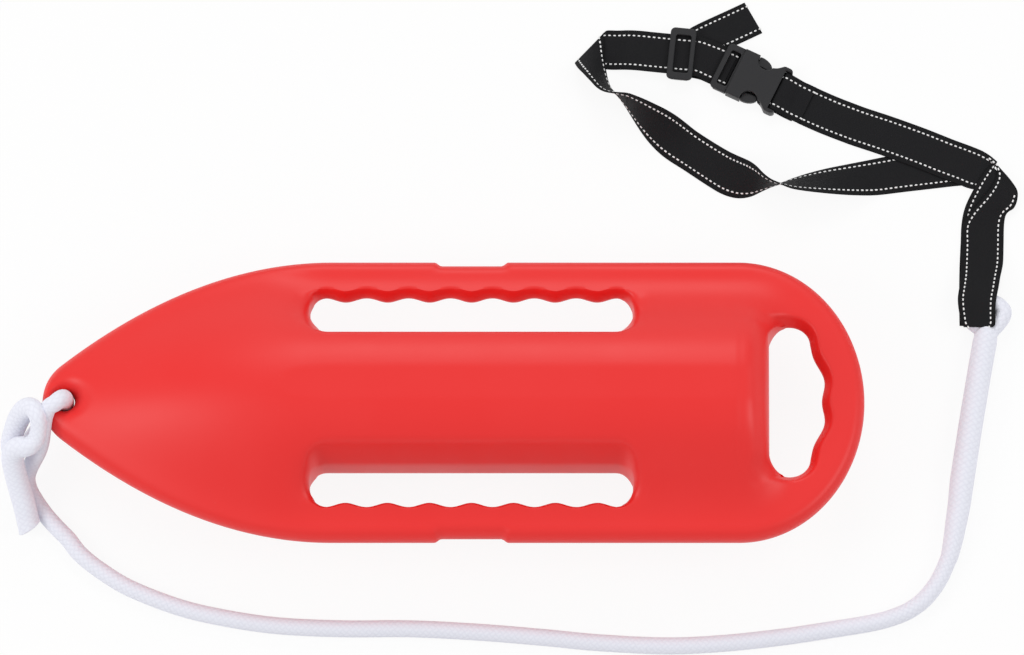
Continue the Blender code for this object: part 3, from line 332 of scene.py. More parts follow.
hullFinish = {"Colour": (0.83, 0.020, 0.018, 1), "Worn Colour": (0.86, 0.055, 0.05, 1),
              "Roughness": 0.41, "Speck Size": 110.0}
plugFinish = {"Colour": (0.70, 0.042, 0.038, 1), "Worn Colour": (0.76, 0.09, 0.08, 1),
              "Roughness": 0.45, "Speck Size": 260.0}
buckleFinish = {"Colour": (0.0145, 0.0145, 0.0165, 1), "Worn Colour": (0.026, 0.026, 0.029, 1),
                "Roughness": 0.40, "Speck Size": 900.0}
# the groove colour is painted shade in the grooves between the rope's strands
ropeFinish = {"Colour": (0.85, 0.86, 0.94, 1), "Groove Colour": (0.72, 0.72, 0.82, 1),
              "Strands": 8.0, "Lay Length": 0.046}
# the sheen colour is a painted highlight on the raised yarns of the strap's middle, also used for its random mottle
webFinish = {"Colour": (0.005, 0.005, 0.006, 1), "Sheen Colour": (0.0095, 0.0095, 0.011, 1),
             "Width": 0.038, "Yarn Pitch": 0.0011}
threadFinish = {"low": (0.72, 0.72, 0.72, 1), "high": (0.92, 0.92, 0.91, 1), "grain": 1500.0, "Roughness": 0.7}
mouldedSkin = mouldedSkinGroup(hullFinish)
hullRed = finishWith("hull red polyethylene", mouldedSkin, hullFinish, "Object", bump=0.00008, specular=0.47)
plugRed = finishWith("plug red polyethylene", mouldedSkin, plugFinish, "Object", bump=0.00012)
bucklePlastic = finishWith("buckle plastic", mouldedSkin, buckleFinish, "Object", bump=0.00005, specular=0.36)
ropeWhite = finishWith("rope white", braidGroup(ropeFinish), ropeFinish, "UV", bump=0.00017, sheen=0.1, specular=0.2)
strapBlack = finishWith("strap black", webWeaveGroup(webFinish), webFinish, "UV", bump=0.00022, specular=0.22)
dashWhite = materialWith("dash white", lambda tree: {
    "Base Color": mixed(noise(Wire(addNode(tree, "ShaderNodeTexCoord").outputs["Object"]), threadFinish["grain"]),
                        threadFinish["low"], threadFinish["high"]), "Roughness": threadFinish["Roughness"]})
print("materials built")


# rope: the tow rope with its splice, the eye, the loop through the bow and the tail; rows are millimetres and
# end with the radius, or leave it out where it is the rope's own

ropeSettings = {
    "diameter": 0.0154, "sides": 40, "step": 0.0016,
    "relief": 0.00012,    # how far the braid's strands stand out
    "strands": 8, "layLength": 0.046,
    "cutReach": 0.012,    # over which a slanted end grows
    "domeRings": ((0.82, 0.10), (0.45, 0.17)), "domeTop": 0.19,
}
rope = SimpleNamespace(**ropeSettings)
# the bow rope, from where the tow rope joins it, over the nose, down through the eye and back round to its cut end
bowRoute = [
    (-378.7, -44.3, 34, 7.5), (-374.5, -39.7, 45, 7.4), (-371.8, -34.3, 55, 7.3), (-370.2, -27.8, 66, 7.2),
    (-368.4, -18.5, 79.5, 7.3), (-364.8, -11, 86.5, 7.6), (-360, -8.3, 88.6, 7.8), (-355, -4, 87, 8.2),
    (-352.2, -1, 80, 8.7), (-351.4, 0, 71, 8.9), (-351.4, 0, 60, 8.9), (-352.6, 0.5, 49, 8),
    (-359, 0.5, 41, 7.6), (-368, -5, 36, 7.5), (-379.6, -20.9, 33, 7.2), (-390.9, -34.5, 31, 7.6),
    (-399, -37.4, 38, 8.6), (-399.3, -30.4, 46, 9.2), (-395.9, -21.3, 55, 9.8), (-391.4, -13.7, 65, 10.2),
    (-385.6, -9.5, 76, 10), (-379.3, -11.3, 85, 8.8), (-375.1, -19.6, 88, 7.8), (-373.9, -28.7, 83, 7.4),
    (-376.3, -37.5, 77, 7.8), (-382.9, -43.5, 74, 9), (-393.2, -43.6, 68, 10), (-397.8, -48.1, 57, 10.2),
    (-395.8, -58.9, 44, 10.2), (-392, -70.4, 33, 10.4), (-388.1, -82.7, 25, 10.4), (-385.3, -92.7, 17.5, 10.4),
    (-383, -102.4, 12, 10.4),
]
towRoute = [
    (-378.7, -44.3, 34, 7.5), (-382.9, -48.9, 23), (-385.6, -56, 15), (-383.5, -65.4, 10.3), (-377.6, -76.1, 8.4),
    (-369.1, -88.3, 7.9), (-358.8, -100.4, 7.8), (-348.4, -111.4, 7.8),
    (-337, -126, 7.8), (-319, -141, 7.8), (-292, -158, 7.8), (-250, -175, 7.8), (-211, -185, 7.8),
    (-160, -193, 7.8), (-100, -196, 7.8), (-40, -196, 7.8), (20, -199, 7.8), (80, -204, 7.8),
    (130, -209, 7.8), (190, -212, 7.8), (240, -210, 7.8), (295, -204, 7.8), (340, -197, 7.8),
    (380, -190, 7.8), (405, -182, 7.8), (421, -172, 7.8), (432, -160, 7.8), (440, -147, 7.8),
    (446, -133, 7.8), (448.2, -127.5, 8.3, 8.0), (451.2, -114, 9.3, 8.9), (454, -98, 10.1, 9.7),
    (457, -80, 10.7, 10.4), (460, -56, 11.1, 11), (464, -30, 11.1, 11), (468, -4, 11.1, 11), (472, 20, 11.1, 11),
    (476, 44, 11.1, 11), (479.3, 63, 11.1, 11), (481.1, 73, 11.1, 11),
    (482.2, 80, 10.6, 10.4), (482.6, 84, 9.9, 9.2), (482.8, 87.5, 9.2, 8.2),
]
eyeRoute = [
    (476.5, 71, 10.4, 5.2), (478, 79, 9.8, 5.4), (476, 86, 9.6, 6.2), (470.3, 92.5, 9.5, 7.2),
    (466.8, 100, 9.5, 7.6), (471, 108, 9.5, 7.7), (481, 112.5, 9.5, 7.7), (492, 109.5, 9.5, 7.7),
    (498, 103.5, 9.5, 7.7), (497, 97.5, 9.5, 7.6), (493, 91, 9.5, 7.2), (488.5, 84.5, 9.6, 6.4), (486, 78, 9.8, 5.6),
    (485, 71, 10.4, 5.2),
]


def ropeTube(name, rows, replaced, cut=(0, 0, 0)):
    # a tube whose skin follows the crossing strands of a braid; its map is turns round and metres along;
    # cut slants the far end, longer on the side that it points to
    sides = rope.sides
    rows = [np.array((*row, rope.diameter * 500)[:4]) / 1000 for row in rows]
    route = routeThrough(rows, rope.step)
    places, radii = route[:, :3], route[:, 3]
    tangent = unit(np.gradient(places, axis=0))
    sideways = [unit(np.cross(tangent[0], (0, 0, 1) if abs(tangent[0][2]) < 0.9 else (1, 0, 0)))]
    for way in tangent[1:]:
        sideways.append(unit(sideways[-1] - way * np.dot(sideways[-1], way)))
    sideways = np.array(sideways)
    upward = np.cross(sideways, tangent)
    length = runLength(places)
    share = np.arange(sides) / sides
    turn, laid = 2 * np.pi * share, length[:, None] / rope.layLength
    left, right = rope.strands * (share + laid), rope.strands * (share - laid)
    over = (np.floor(left) + np.floor(right)) % 2 == 1
    ridge = np.abs(np.sin(np.pi * np.where(over, left, right)))
    skin = radii[:, None] - rope.relief * (1 - ridge)
    offset = sideways[:, None] * (skin * np.cos(turn))[..., None] + upward[:, None] * (skin * np.sin(turn))[..., None]
    slant = (offset @ np.array(cut, float)) * np.clip(1 - (length[-1] - length) / rope.cutReach, 0, 1)[:, None]
    points = list((places[:, None] + offset + tangent[:, None] * slant[..., None]).reshape(-1, 3))
    faces, maps = ringFaces([*share, 1.0], length)
    for row, way in ((0, -1), (len(places) - 1, 1)):
        # a slightly domed cap
        rings = [row * sides, len(points), len(points) + sides]
        dome = tangent[row] * way * radii[row]
        for scale, lift in rope.domeRings:
            points += [places[row] + (points[rings[0] + k] - places[row]) * scale + dome * lift for k in range(sides)]
        top = len(points)
        points.append(places[row] + dome * rope.domeTop)
        for a, b in zip(rings, (*rings[1:], None)):
            for k in range(sides):
                n = (k + 1) % sides
                face = (a + k, a + n, top) if b is None else (a + k, a + n, b + n, b + k)
                faces.append(face[::-way])
                maps += [(k / sides, length[row])] * len(face)
    piece = meshPiece(name, points, faces, ropeWhite, 80, maps)
    finished(piece, "float", "rope", *replaced)
    [tuple(p) for p in places[::3]] + [tuple(places[-1])]
    print(name, round(float(length[-1]), 3), "m")


ropeTube("tow_rope_braid", towRoute, ("tow_rope", "rope_splice"))
ropeTube("bow_loop_braid", bowRoute, ("bow_knot", "rope_tail"), (-0.42, 0, 0))
ropeTube("rope_eye_braid", eyeRoute, ("rope_eye",))


# shoulder strap: runs of webbing on the part's own routes, with woven white dashes; a row is x, y and ground
# height in millimetres, the way across the strap in degrees, its roll and the share of its width that is seen

strapSettings = {
    "width": 0.038, "thickness": 0.0014, "layerGap": 0.0003, "step": 0.002, "acrossPoints": 9, "lowest": 0.0004,
    "pleatReach": 0.0056, "pleatGap": 0.0011, "pleatThickness": 0.00075, "pleatLap": 0.0006, "pleatStep": 0.001,
    "dashPitch": 0.0045, "dashLength": 0.0027, "dashWidth": 0.0016, "dashHeight": 0.00036, "dashInset": 0.0052,
    "dashCorners": 8, "dashRound": 0.45, "dashTop": (0.82, 0.72), "dashSink": 0.0002,
    "dashSpread": 0.06, "dashSeed": 7, "dashFloor": 0.00005,
}
strap = SimpleNamespace(**strapSettings)
layer = strap.thickness + strap.layerGap
upperBand = [
    (319.8, 301.6, 2.0, 65), (330, 297, 1.0, 66), (345, 290.5, 0.4, 67), (365, 282.5, 0.4, 68),
    (377, 278, 1.1, 69), (388, 274, 1.8, 69), (403, 268.5, 1.8, 69), (425, 260, 1.8, 69),
    (447, 250.8, 1.8, 69), (462, 244.8, 2.4, 70), (473, 240.2, 2.0, 69), (481, 237, 1.7, 69, 0, 0.92),
    (488, 234, 1.4, 67, 0, 0.78),
]
stemFront = [
    (475.5, 85.6, 17.2, 180, 0, 0.68), (475.3, 87.6, 17.6, 180, 0, 0.8), (474.3, 100, 17.7, 180, 0, 0.87),
    (474.2, 112, 17.4, 180, 0, 0.92), (476, 124, 14, 180, 0, 0.94), (477.7, 136, 9.5, 180, 0, 0.95),
    (479.3, 150, 4.8, 180, 0, 1), (480, 168, 2, 180, 0, 1), (480.5, 186, 1.9, 181, 0, 1),
    (484.6, 196.5, 3, 176, 0, 0.86), (489.6, 202.5, 4.4, 166, 0, 0.76), (495.7, 208.5, 5.2, 154, 0, 0.75),
    (500.5, 217, 5.4, 146, 0, 0.7), (502.6, 226.4, 5.4, 140, 0, 0.63), (499.5, 234.5, 5.3, 136, 0, 0.5),
    (495, 241, 4.8, 130, 0, 0.38), (489.5, 246, 4.2, 126, 0, 0.3),
]
stemBack = [
    (474.5, 92, 0.4, 180, 0, 0.84), (475, 116, 0.4, 180, 0, 0.88), (477, 145, 0.4, 180, 0, 0.96),
    (479, 171, 0.4, 180, 0, 1), (479.5, 190, 0.4, 184, 0, 0.98), (482, 203, 0.9, 176, 0, 0.94),
    (488.5, 217, 2.6, 163, 0, 0.88), (494, 228, 3.5, 150, 0, 0.8), (496, 236, 3.4, 138, 0, 0.6),
]
lowerBand = [
    (468, 240, 0, 100, 0, 0.84), (458, 243.9, 0, 96), (436, 241.3, 0, 91), (408, 237.5, 0, 84), (388, 234, 0, 79, -3),
    (370, 230.8, 0, 78, -15), (353, 228.2, 0, 81, -27), (336, 226, 0, 85, -38), (320, 223.8, 0, 87, -49),
    (307, 222, 0, 88, -60), (297, 221.4, 0, 87, -72),
]
wideBand = [
    (296.3, 221.4, 0, 87, -73), (288, 221.6, 0, 85, -83), (280, 222.5, 0, 81, -99), (271, 224.6, 0, 77, -124),
    (261, 228.4, 0, 73, -147), (250, 234, 0, 71, -163), (238, 242, 0, 70, -174), (215, 258.2, 0, 68, -180),
    (203, 266, 0, 66, -170), (192, 273, 0, 64, -152), (179, 282, 0, 62, -129), (168, 291, 0, 64, -111),
    (158, 299.6, 0, 71, -95),
]
cornerFold = [
    (157.5, 300, 0, 71.5, -94), (149, 306, 0, 80, -78), (141.5, 310.5, 0, 78, -67),
    (135.5, 317.5, 0.9, 67, -56), (130.5, 328.5, 1.7, 58, -45), (127, 339, 2, 53, -31),
    (124.5, 348.5, 2, 49, -13), (123, 355, 2, 47, 0),
]
topBand = [
    (124, 356.2, 0, 50, 0, 0.98), (134, 355, 0, 73), (142, 354.5, 0, 79), (149, 354, 1.4, 82),
    (158, 353.1, 4.6, 84), (168, 352.1, 6.1, 84), (180, 350.8, 6.1, 84), (207, 348, 6.1, 84),
    (222, 346.4, 6.1, 84), (232, 342.7, 5.1, 75), (242.5, 338.6, 4.1, 65),
]
returnRows = [(244, 337.7, 0, 64.3), (236, 341.4, 0, 71), (228, 344.6, 0, 79), (219, 346.6, 0, 84),
              (208.4, 347.9, 0, 84)]
tailRows = [(211, 347.7, 4.3, 85), (215.2, 352, 4.0, 99, 0, 0.93), (220.3, 357.6, 3.4, 111, 0, 0.9),
            (228.5, 363, 2.6, 116, 0, 0.88), (240, 368.9, 2.0, 116, 0, 0.88), (255, 376.3, 1.2, 117, 0, 0.88),
            (272.6, 385.1, 0.6, 119, 0, 0.88)]
anchorRows = [(480.7, 99, 15.6), (480.7, 95.4, 14.2), (480.7, 92.9, 11.6), (480.7, 92.2, 9.2),
              (480.7, 92.9, 6.8), (480.7, 95.4, 4.2), (480.7, 99, 2.9)]
socketUnder = [(65.5, 0.7), (60.5, 0.7), (54.5, 1.4), (50, 2.8)]
socketOver = [(50, 8.1), (55, 6.2), (60.5, 4.2), (65.5, 4.2), (70, 4.0), (72.8, 4.1)]
buckleSettings = {"at": (0.256, 0.332), "heading": math.radians(-25.7), "plugBar": 0.0026, "plugBarBack": 0.0046,
                  "bandEnd": 0.0002, "height": 0.0116, "socketBar": 0.0032, "socketBarAt": 0.0455,
                  "loopSlack": 0.0006}
sliderSettings = {"at": (0.207, 0.348), "heading": math.radians(-6), "bar": 0.0024}
buckle, slider = SimpleNamespace(**buckleSettings), SimpleNamespace(**sliderSettings)
plugBarZ = 1.5 * layer + buckle.plugBar / 2 - strap.layerGap / 2 - strap.thickness / 2
sliderBarZ = layer + slider.bar / 2
# what the webbing rides on; the upper and the return run list two bodies and two places, and are left unattached
riders = {"float": "float", "socket": "socket", "slider": "slider",
          "upper": ("float", "socket", (0.474, 0.240, 0), (0.3198, 0.3016, 0)),
          "return": ("float", "slider", (0.2440, 0.3377, 0), (0.2084, 0.3479, 0))}
guides = {label: [] for label in riders}    # the dash lines on each


def laidStrap(rows):
    # places and across-vectors of a run that lies on the ground
    rows = [np.array((*row, *(0, 1)[len(row) - 4:])) / (1000, 1000, 1000, 1, 1, 1) for row in rows]
    x, y, ground, side, roll, share = routeThrough(rows, strap.step).T
    turn, tilt = np.radians(side), np.radians(roll)
    z = np.maximum(ground, strap.lowest) + strap.thickness / 2 + np.abs(np.sin(tilt)) * strap.width / 2 * share
    sides = np.stack([np.cos(turn) * np.cos(tilt), np.sin(turn) * np.cos(tilt), np.sin(tilt)], 1)
    return np.stack([x, y, z], 1), share[:, None] * sides


def flatSection():
    # the strap's cross-section: two faces and rounded selvedges
    half, edge = strap.width / 2, strap.thickness / 2
    face = np.linspace(-1, 1, strap.acrossPoints) * (half - edge)
    turns = (0.9, 1.57, 2.24)
    section = [(u, edge) for u in face]
    section += [(half - edge + edge * math.sin(a), edge * math.cos(a)) for a in turns]
    section += [(u, -edge) for u in face[::-1]]
    section += [(edge - half - edge * math.sin(a), edge * math.cos(a)) for a in turns[::-1]]
    return np.array(section)


def pleatedSection():
    # the same strap pressed into three thin layers, as where it passes through the rope's eye
    reach, gap, lap = strap.pleatReach, strap.pleatGap, strap.pleatLap
    turns = (-0.8, 0, 0.8)
    middle = [(-reach - lap, -gap), (0, -gap), (reach, -gap)]
    middle += [(reach + gap / 2 * math.cos(a), gap / 2 * (math.sin(a) - 1)) for a in turns]
    middle += [(reach, 0), (0, 0), (-reach, 0)]
    middle += [(-reach - gap / 2 * math.cos(a), gap / 2 * (math.sin(a) + 1)) for a in turns]
    middle = np.array(middle + [(-reach, gap), (0, gap), (reach + lap, gap)])
    way = unit(np.gradient(middle, axis=0))
    off = np.stack([-way[:, 1], way[:, 0]], 1) * strap.pleatThickness / 2
    return np.vstack([middle + off, (middle - off)[::-1]])


def strapRun(name, node, label, held, places, sides, section, rolledUnder=0):
    # a woven strip, its map in metres across and along, and four rows of places for its dashes: near each
    # selvedge, on both faces; the last stretch of the first selvedge can be left out where it rolls under
    normal = unit(np.cross(np.gradient(places, axis=0), sides))
    points = (places[:, None] + sides[:, None] * section[:, :1] + normal[:, None] * section[:, 1:]).reshape(-1, 3)
    length, ring = runLength(places), len(section)
    faces, maps = ringFaces([*section[:, 0], section[0, 0]], length)
    for row in (0, len(places) - 1):
        faces.append(tuple(row * ring + k for k in range(ring)))
        maps += [(u, length[row]) for u in section[:, 0]]
    piece = meshPiece(name, points, faces, strapBlack, 45, maps)
    finished(piece, riders[label], "webbing", node)
    if held == "gathered":
        return
    inset = strap.width / 2 - strap.dashInset
    for side in (-1, 1):
        kept = len(places) - (rolledUnder if side < 0 else 0)
        for face in (1, -1):
            line = places + sides * side * inset + normal * face * strap.thickness / 2
            guides[label].append((line[:kept], normal[:kept] * face))


def pointOn(place, u, v=0):
    # u along the heading and v across it
    return (place.at[0] + u * math.cos(place.heading) - v * math.sin(place.heading),
            place.at[1] + u * math.sin(place.heading) + v * math.cos(place.heading))


def across(place):
    return (-math.sin(place.heading), math.cos(place.heading), 0)


def roundBar(place, u, z, bar, start, end):
    # places of a turn round a bar that lies across the heading
    radius = bar / 2 + layer - strap.thickness / 2
    return [(*pointOn(place, u + radius * math.cos(turn)), z + radius * math.sin(turn))
            for turn in np.radians(np.linspace(start, end, 13))]


def fromBar(bend, place, rows):
    places, sides = laidStrap(rows)
    return np.vstack([bend, places]), np.vstack([[across(place)] * len(bend), sides])


def onBuckle(rows):
    return routeThrough([(*pointOn(buckle, u / 1000), z / 1000) for u, z in rows], strap.step)


flat = flatSection()
for name, node, rows, held, rolledUnder in (("stem_front_web", "strap_stem_front", stemFront, "laid", 16),
                                            ("stem_back_web", "strap_stem_back", stemBack, "laid", 0),
                                            ("lower_band_web", "strap_lower_band", lowerBand, "laid", 0),
                                            ("wide_band_web", "strap_wide_band", wideBand, "laid", 0),
                                            ("corner_fold_web", "strap_corner", cornerFold, "folded", 0)):
    strapRun(name, node, "float", held, *laidStrap(rows), flat, rolledUnder)

# the top band ends over the plug's bar
places, sides = laidStrap(topBand)
overBar = (*pointOn(buckle, -buckle.plugBarBack - buckle.bandEnd),
           plugBarZ + buckle.plugBar / 2 + layer - strap.thickness / 2)
lead, leadSides = np.linspace(places[-1], overBar, 6)[1:], np.linspace(sides[-1], across(buckle), 6)[1:]
strapRun("top_band_web", "strap_top_band", "float", "folded", np.vstack([places, lead]),
         np.vstack([sides, leadSides]), flat)
bend = roundBar(buckle, -buckle.plugBarBack, plugBarZ, buckle.plugBar, 86, -90)
strapRun("return_band_web", "strap_return_band", "return", "folded", *fromBar(bend, buckle, returnRows), flat)
bend = roundBar(slider, 0, sliderBarZ, slider.bar, 270, 92)
strapRun("tail_web", "strap_tail", "slider", "folded", *fromBar(bend, slider, tailRows), flat)
bend = roundBar(buckle, buckle.socketBarAt - buckle.loopSlack, buckle.height / 2,
                buckle.socketBar + 2 * buckle.loopSlack, 270, 90)
places = np.vstack([onBuckle(socketUnder), bend, onBuckle(socketOver)])
strapRun("socket_loop_web", "strap_socket_loop", "socket", "folded", places,
         np.array([across(buckle)] * len(places)), flat)
strapRun("upper_band_web", "strap_upper_band", "upper", "laid", *laidStrap(upperBand), flat)
places = routeThrough(np.array(anchorRows) / 1000, strap.pleatStep)
strapRun("anchor_loop_web", "strap_anchor_loop", "float", "gathered", places, np.array([(1.0, 0, 0)] * len(places)),
         pleatedSection())
print("strap runs made")


def dashShape():
    # one flat dash of thread: a rounded pad, long way along X
    def rounded(value, half):
        return half * math.copysign(abs(value) ** strap.dashRound, value)

    count, (long, wide) = strap.dashCorners, strap.dashTop
    turns = [2 * math.pi * (i + 0.5) / count for i in range(count)]
    outline = [(rounded(math.cos(a), strap.dashLength / 2), rounded(math.sin(a), strap.dashWidth / 2)) for a in turns]
    points = [(x, y, -strap.dashSink) for x, y in outline]
    points += [(x * long, y * wide, strap.dashHeight) for x, y in outline]
    faces = [tuple(reversed(range(count))), tuple(range(count, 2 * count))]
    faces += [(i, (i + 1) % count, count + (i + 1) % count, count + i) for i in range(count)]
    return meshPiece("one_dash", points, faces, dashWhite, 60)


def dashTree():
    # guide lines in, one dash every pitch along them, lying on the webbing's face
    tree, given = newTree("woven dashes", "GeometryNodeTree",
                          {"Geometry": "Geometry", "Dash": "Object", "Pitch": "Float", "Seed": "Int",
                           "Size Spread": "Float", "Thread": "Material"}, {"Geometry": "Geometry"})
    line = addNode(tree, "GeometryNodeMeshToCurve", {0: given["Geometry"]})
    even = addNode(tree, "GeometryNodeResampleCurve", {"Curve": line, "Length": given["Pitch"]}, mode="LENGTH")
    facing = addNode(tree, "GeometryNodeInputNamedAttribute", {"Name": "faceWay"}, data_type="FLOAT_VECTOR")
    way = addNode(tree, "GeometryNodeInputTangent")
    alongX = addNode(tree, "FunctionNodeAlignRotationToVector", {"Vector": way}, axis="X")
    turned = addNode(tree, "FunctionNodeAlignRotationToVector",
                     {"Rotation": alongX, "Vector": facing.outputs["Attribute"]}, axis="Z", pivot_axis="X")
    spread = given["Size Spread"]
    size = addNode(tree, "FunctionNodeRandomValue", {2: spread.math("SUBTRACT", 1.0, swap=True), 3: spread + 1.0,
                                                     "Seed": given["Seed"]}, data_type="FLOAT")
    shape = addNode(tree, "GeometryNodeObjectInfo", {"Object": given["Dash"]})
    dashes = addNode(tree, "GeometryNodeInstanceOnPoints", {
        "Points": even, "Instance": shape.outputs["Geometry"], "Rotation": turned, "Scale": size.outputs[1]})
    real = addNode(tree, "GeometryNodeRealizeInstances", {0: dashes})
    addNode(tree, "NodeGroupOutput", {
        0: addNode(tree, "GeometryNodeSetMaterial", {"Geometry": real, "Material": given["Thread"]})})
    return tree


def wovenDashes(label, tree, dash):
    points, edges, ways = [], [], []
    for line, way in guides[label]:
        edges += [(len(points) + i, len(points) + i + 1) for i in range(len(line) - 1)]
        points += [tuple(p) for p in line]
        ways.append(way)
    mesh = bpy.data.meshes.new(label + " guide")
    mesh.from_pydata(points, edges, [])
    attribute = mesh.attributes.new("faceWay", "FLOAT_VECTOR", "POINT")
    attribute.data.foreach_set("vector", np.vstack(ways).astype(np.float32).ravel())
    guide = linked(label + " guide", mesh)
    made = guide.modifiers.new("Woven dashes", "NODES")
    made.node_group = tree
    ids = {item.name: item.identifier for item in tree.interface.items_tree
           if item.item_type == "SOCKET" and item.in_out == "INPUT"}
    for name, value in (("Dash", dash), ("Pitch", strap.dashPitch), ("Seed", strap.dashSeed),
                        ("Size Spread", strap.dashSpread), ("Thread", dashWhite)):
        made[ids[name]] = value
    plain = evaluatedMesh(guide)
    plain.name = label + "_dashes"
    # a dash on a tight bend stays above the floor
    spots = np.empty(len(plain.vertices) * 3, np.float32)
    plain.vertices.foreach_get("co", spots)
    spots[2::3] = np.maximum(spots[2::3], strap.dashFloor)
    plain.vertices.foreach_set("co", spots)
    finished(linked(plain.name, plain), riders[label], "webbing")
    print("dashes on", label, len(plain.polygons), "faces")


dashNodes, oneDash = dashTree(), dashShape()
for label in riders:
    wovenDashes(label, dashNodes, oneDash)
bpy.data.objects.remove(oneDash)


# hull: the part's outline and openings with a finer skin

hullSettings = {
    "length": 0.742, "beam": 0.263, "height": 0.130, "noseRadius": 0.043, "noseLength": 0.261,
    "sternLength": 0.1135, "rim": 0.026, "coreRise": 0.235, "risePower": 1.25, "crownDrop": 0.010,
    "crownPower": 2.2, "crownLand": 0.0008, "shoulder": 0.050, "shoulderDrop": 0.008, "shoulderEase": 0.005,
    "flankSlope": 0.92, "foot": 0.018, "archReach": 0.075, "archWidth": 0.94, "archPower": 1.5,
    "gripLength": 0.291, "gripX": 0.0163, "gripInner": 0.063, "rail": 0.0328, "gripCorner": 0.016,
    "scallop": 0.03785, "scallopDepth": 0.004, "scallops": 7,
    "notchLength": 0.060, "notchDepth": 0.0035, "notchRamp": 0.006,
    "transom": 0.086, "transomEdge": 0.024, "transomReach": 0.028, "transomTurn": 0.85,
    "sternGrip": 0.141, "sternRim": 0.0345, "sternScallop": 0.041, "sternCorner": 0.018, "sternRimCorner": 0.021,
    "eyeBack": 0.0198, "eye": 0.019, "plugX": 0.205, "plugHole": 0.0146, "plugDepth": 0.006,
    # how the outer edge turns in: its share of the thickness, with a cap that grows forward of the transom
    "edgeShare": 0.8, "capStart": 0.03, "capSlope": 0.6,
    # walls of the openings: the lip at the edge, the slope that follows it, and where the turn into the crown starts
    "lip": 0.0016, "lipReach": 0.0005, "railSlope": 3.2, "sternSlope": 1.6, "railReach": 0.0085,
    "coreWall": 0.0135, "coreWallSlope": 24.0, "coreFlankSlope": 3.4, "coreBlend": 0.0025,
    "endReach": 0.014, "endSlope": 3.4, "crownSpare": 0.0012, "edgeReach": 0.0004, "wallBlend": 0.005,
    # from which direction to the edge one kind of wall gives way to the next, and over how much
    "coreTurn": (0.35, 0.5), "endTurn": (0.45, 0.45), "sternTurn": (0.2, 0.5),
    # the mesh: spacing on the edges and inside, and rings of points beside the edges; the deeper rings follow
    # the grips only
    "step": 0.0032, "sternStep": 0.0022, "eyeStep": 0.0014, "fineStep": 0.00025, "gridMargin": 0.003,
    "gridSpacing": 0.62, "ringMargin": 0.93,
    "rings": (0.0004, 0.0009, 0.0016, 0.0026, 0.0040, 0.0056, 0.0075, 0.0096, 0.0118, 0.0142, 0.0168, 0.0196),
    "gripRings": 0.01, "closeRings": 0.002, "closeSpacing": 0.00035, "ringSpacing": 0.0011,
}
hull = SimpleNamespace(**hullSettings)
halfLength, halfBeam, midZ = hull.length / 2, hull.beam / 2, hull.height / 2
shoulderX = hull.noseLength - halfLength
noseX = hull.noseRadius - halfLength
sternX = halfLength - hull.sternLength
transomX = halfLength - hull.transom
eyeX = hull.eyeBack - halfLength


def noseTangent():
    # where the round nose meets the curved side, and how much the side curves
    low, high = 0.0, hull.noseRadius * 0.999
    for _ in range(60):
        back = (low + high) / 2
        rise = math.sqrt(hull.noseRadius**2 - back**2)
        reach = shoulderX - noseX + back
        if halfBeam - back * reach / (2 * rise) - rise > 0:
            low = back
        else:
            high = back
    return noseX - back, back / (2 * reach * rise)


tangentX, sideCurve = noseTangent()


def halfBeamAt(x):
    x = np.asarray(x, float)
    nose = np.sqrt(np.maximum(hull.noseRadius**2 - (x - noseX) ** 2, 0))
    side = halfBeam - sideCurve * np.maximum(shoulderX - x, 0) ** 2
    stern = halfBeam * np.sqrt(np.maximum(1 - np.clip((x - sternX) / hull.sternLength, 0, 1) ** 2, 0))
    return np.where(x < tangentX, nose, np.where(x < sternX, side, stern))


def bodyHeight(x, y):
    # half the hull's thickness, before its edges turn in
    away = np.abs(y)
    rise = np.sin(np.pi / 2 * np.clip((x + halfLength) / hull.coreRise, 0, 1)) ** hull.risePower
    pastGrip = eased((away - hull.sternGrip / 2 + hull.transomEdge) / hull.transomEdge)
    fall = transomX + hull.transomEdge * (1 - pastGrip)
    rise = rise * (1 - eased((x - fall + hull.transomEdge) / (2 * hull.transomEdge)))
    rim, crest = hull.rim / 2, midZ + hull.crownLand
    top = rim + (crest - rim) * rise
    beam = halfBeamAt(x)
    side = away / np.maximum(np.where(x < shoulderX, beam / halfBeam, 1), 0.01)
    crown = crest - hull.crownDrop * (side / hull.shoulder) ** hull.crownPower
    flank = midZ - hull.shoulderDrop - hull.flankSlope * (side - hull.shoulder)
    ease = hull.shoulderEase
    profile = -ease * np.logaddexp(-crown / ease, -flank / ease) - rim
    firm = softMax(rim, rim + profile * rise, np.maximum(hull.foot * rise, 0.0001))
    arch = np.maximum(1 - (away / np.maximum(hull.archWidth * beam, 0.001)) ** 2, 0) ** hull.archPower
    arch = rim + (top - rim) * arch
    toArch = 1 - eased((x - shoulderX + hull.archReach) / hull.archReach)
    return np.minimum(firm + (arch - firm) * toArch, midZ)


def arcPoints(centre, radius, start, end, count):
    return [(centre[0] + radius * math.cos(t), centre[1] + radius * math.sin(t))
            for t in np.radians(np.linspace(start, end, count + 1))]


def scallopAt(off, pitch):
    return hull.scallopDepth * (0.5 + 0.5 * math.cos(2 * math.pi * off / pitch))


def outlineLoop():
    xs = -halfLength * np.cos(np.linspace(0, np.pi, 1500))
    off = np.abs(xs - hull.gripX) - hull.notchLength / 2
    notch = hull.notchDepth * (1 - eased(off / hull.notchRamp + 0.5))
    upper = [(x, y) for x, y in zip(xs, halfBeamAt(xs) - notch)]
    upper[0], upper[-1] = (-halfLength, 0), (halfLength, 0)
    return upper + [(x, -y) for x, y in reversed(upper[1:-1])]


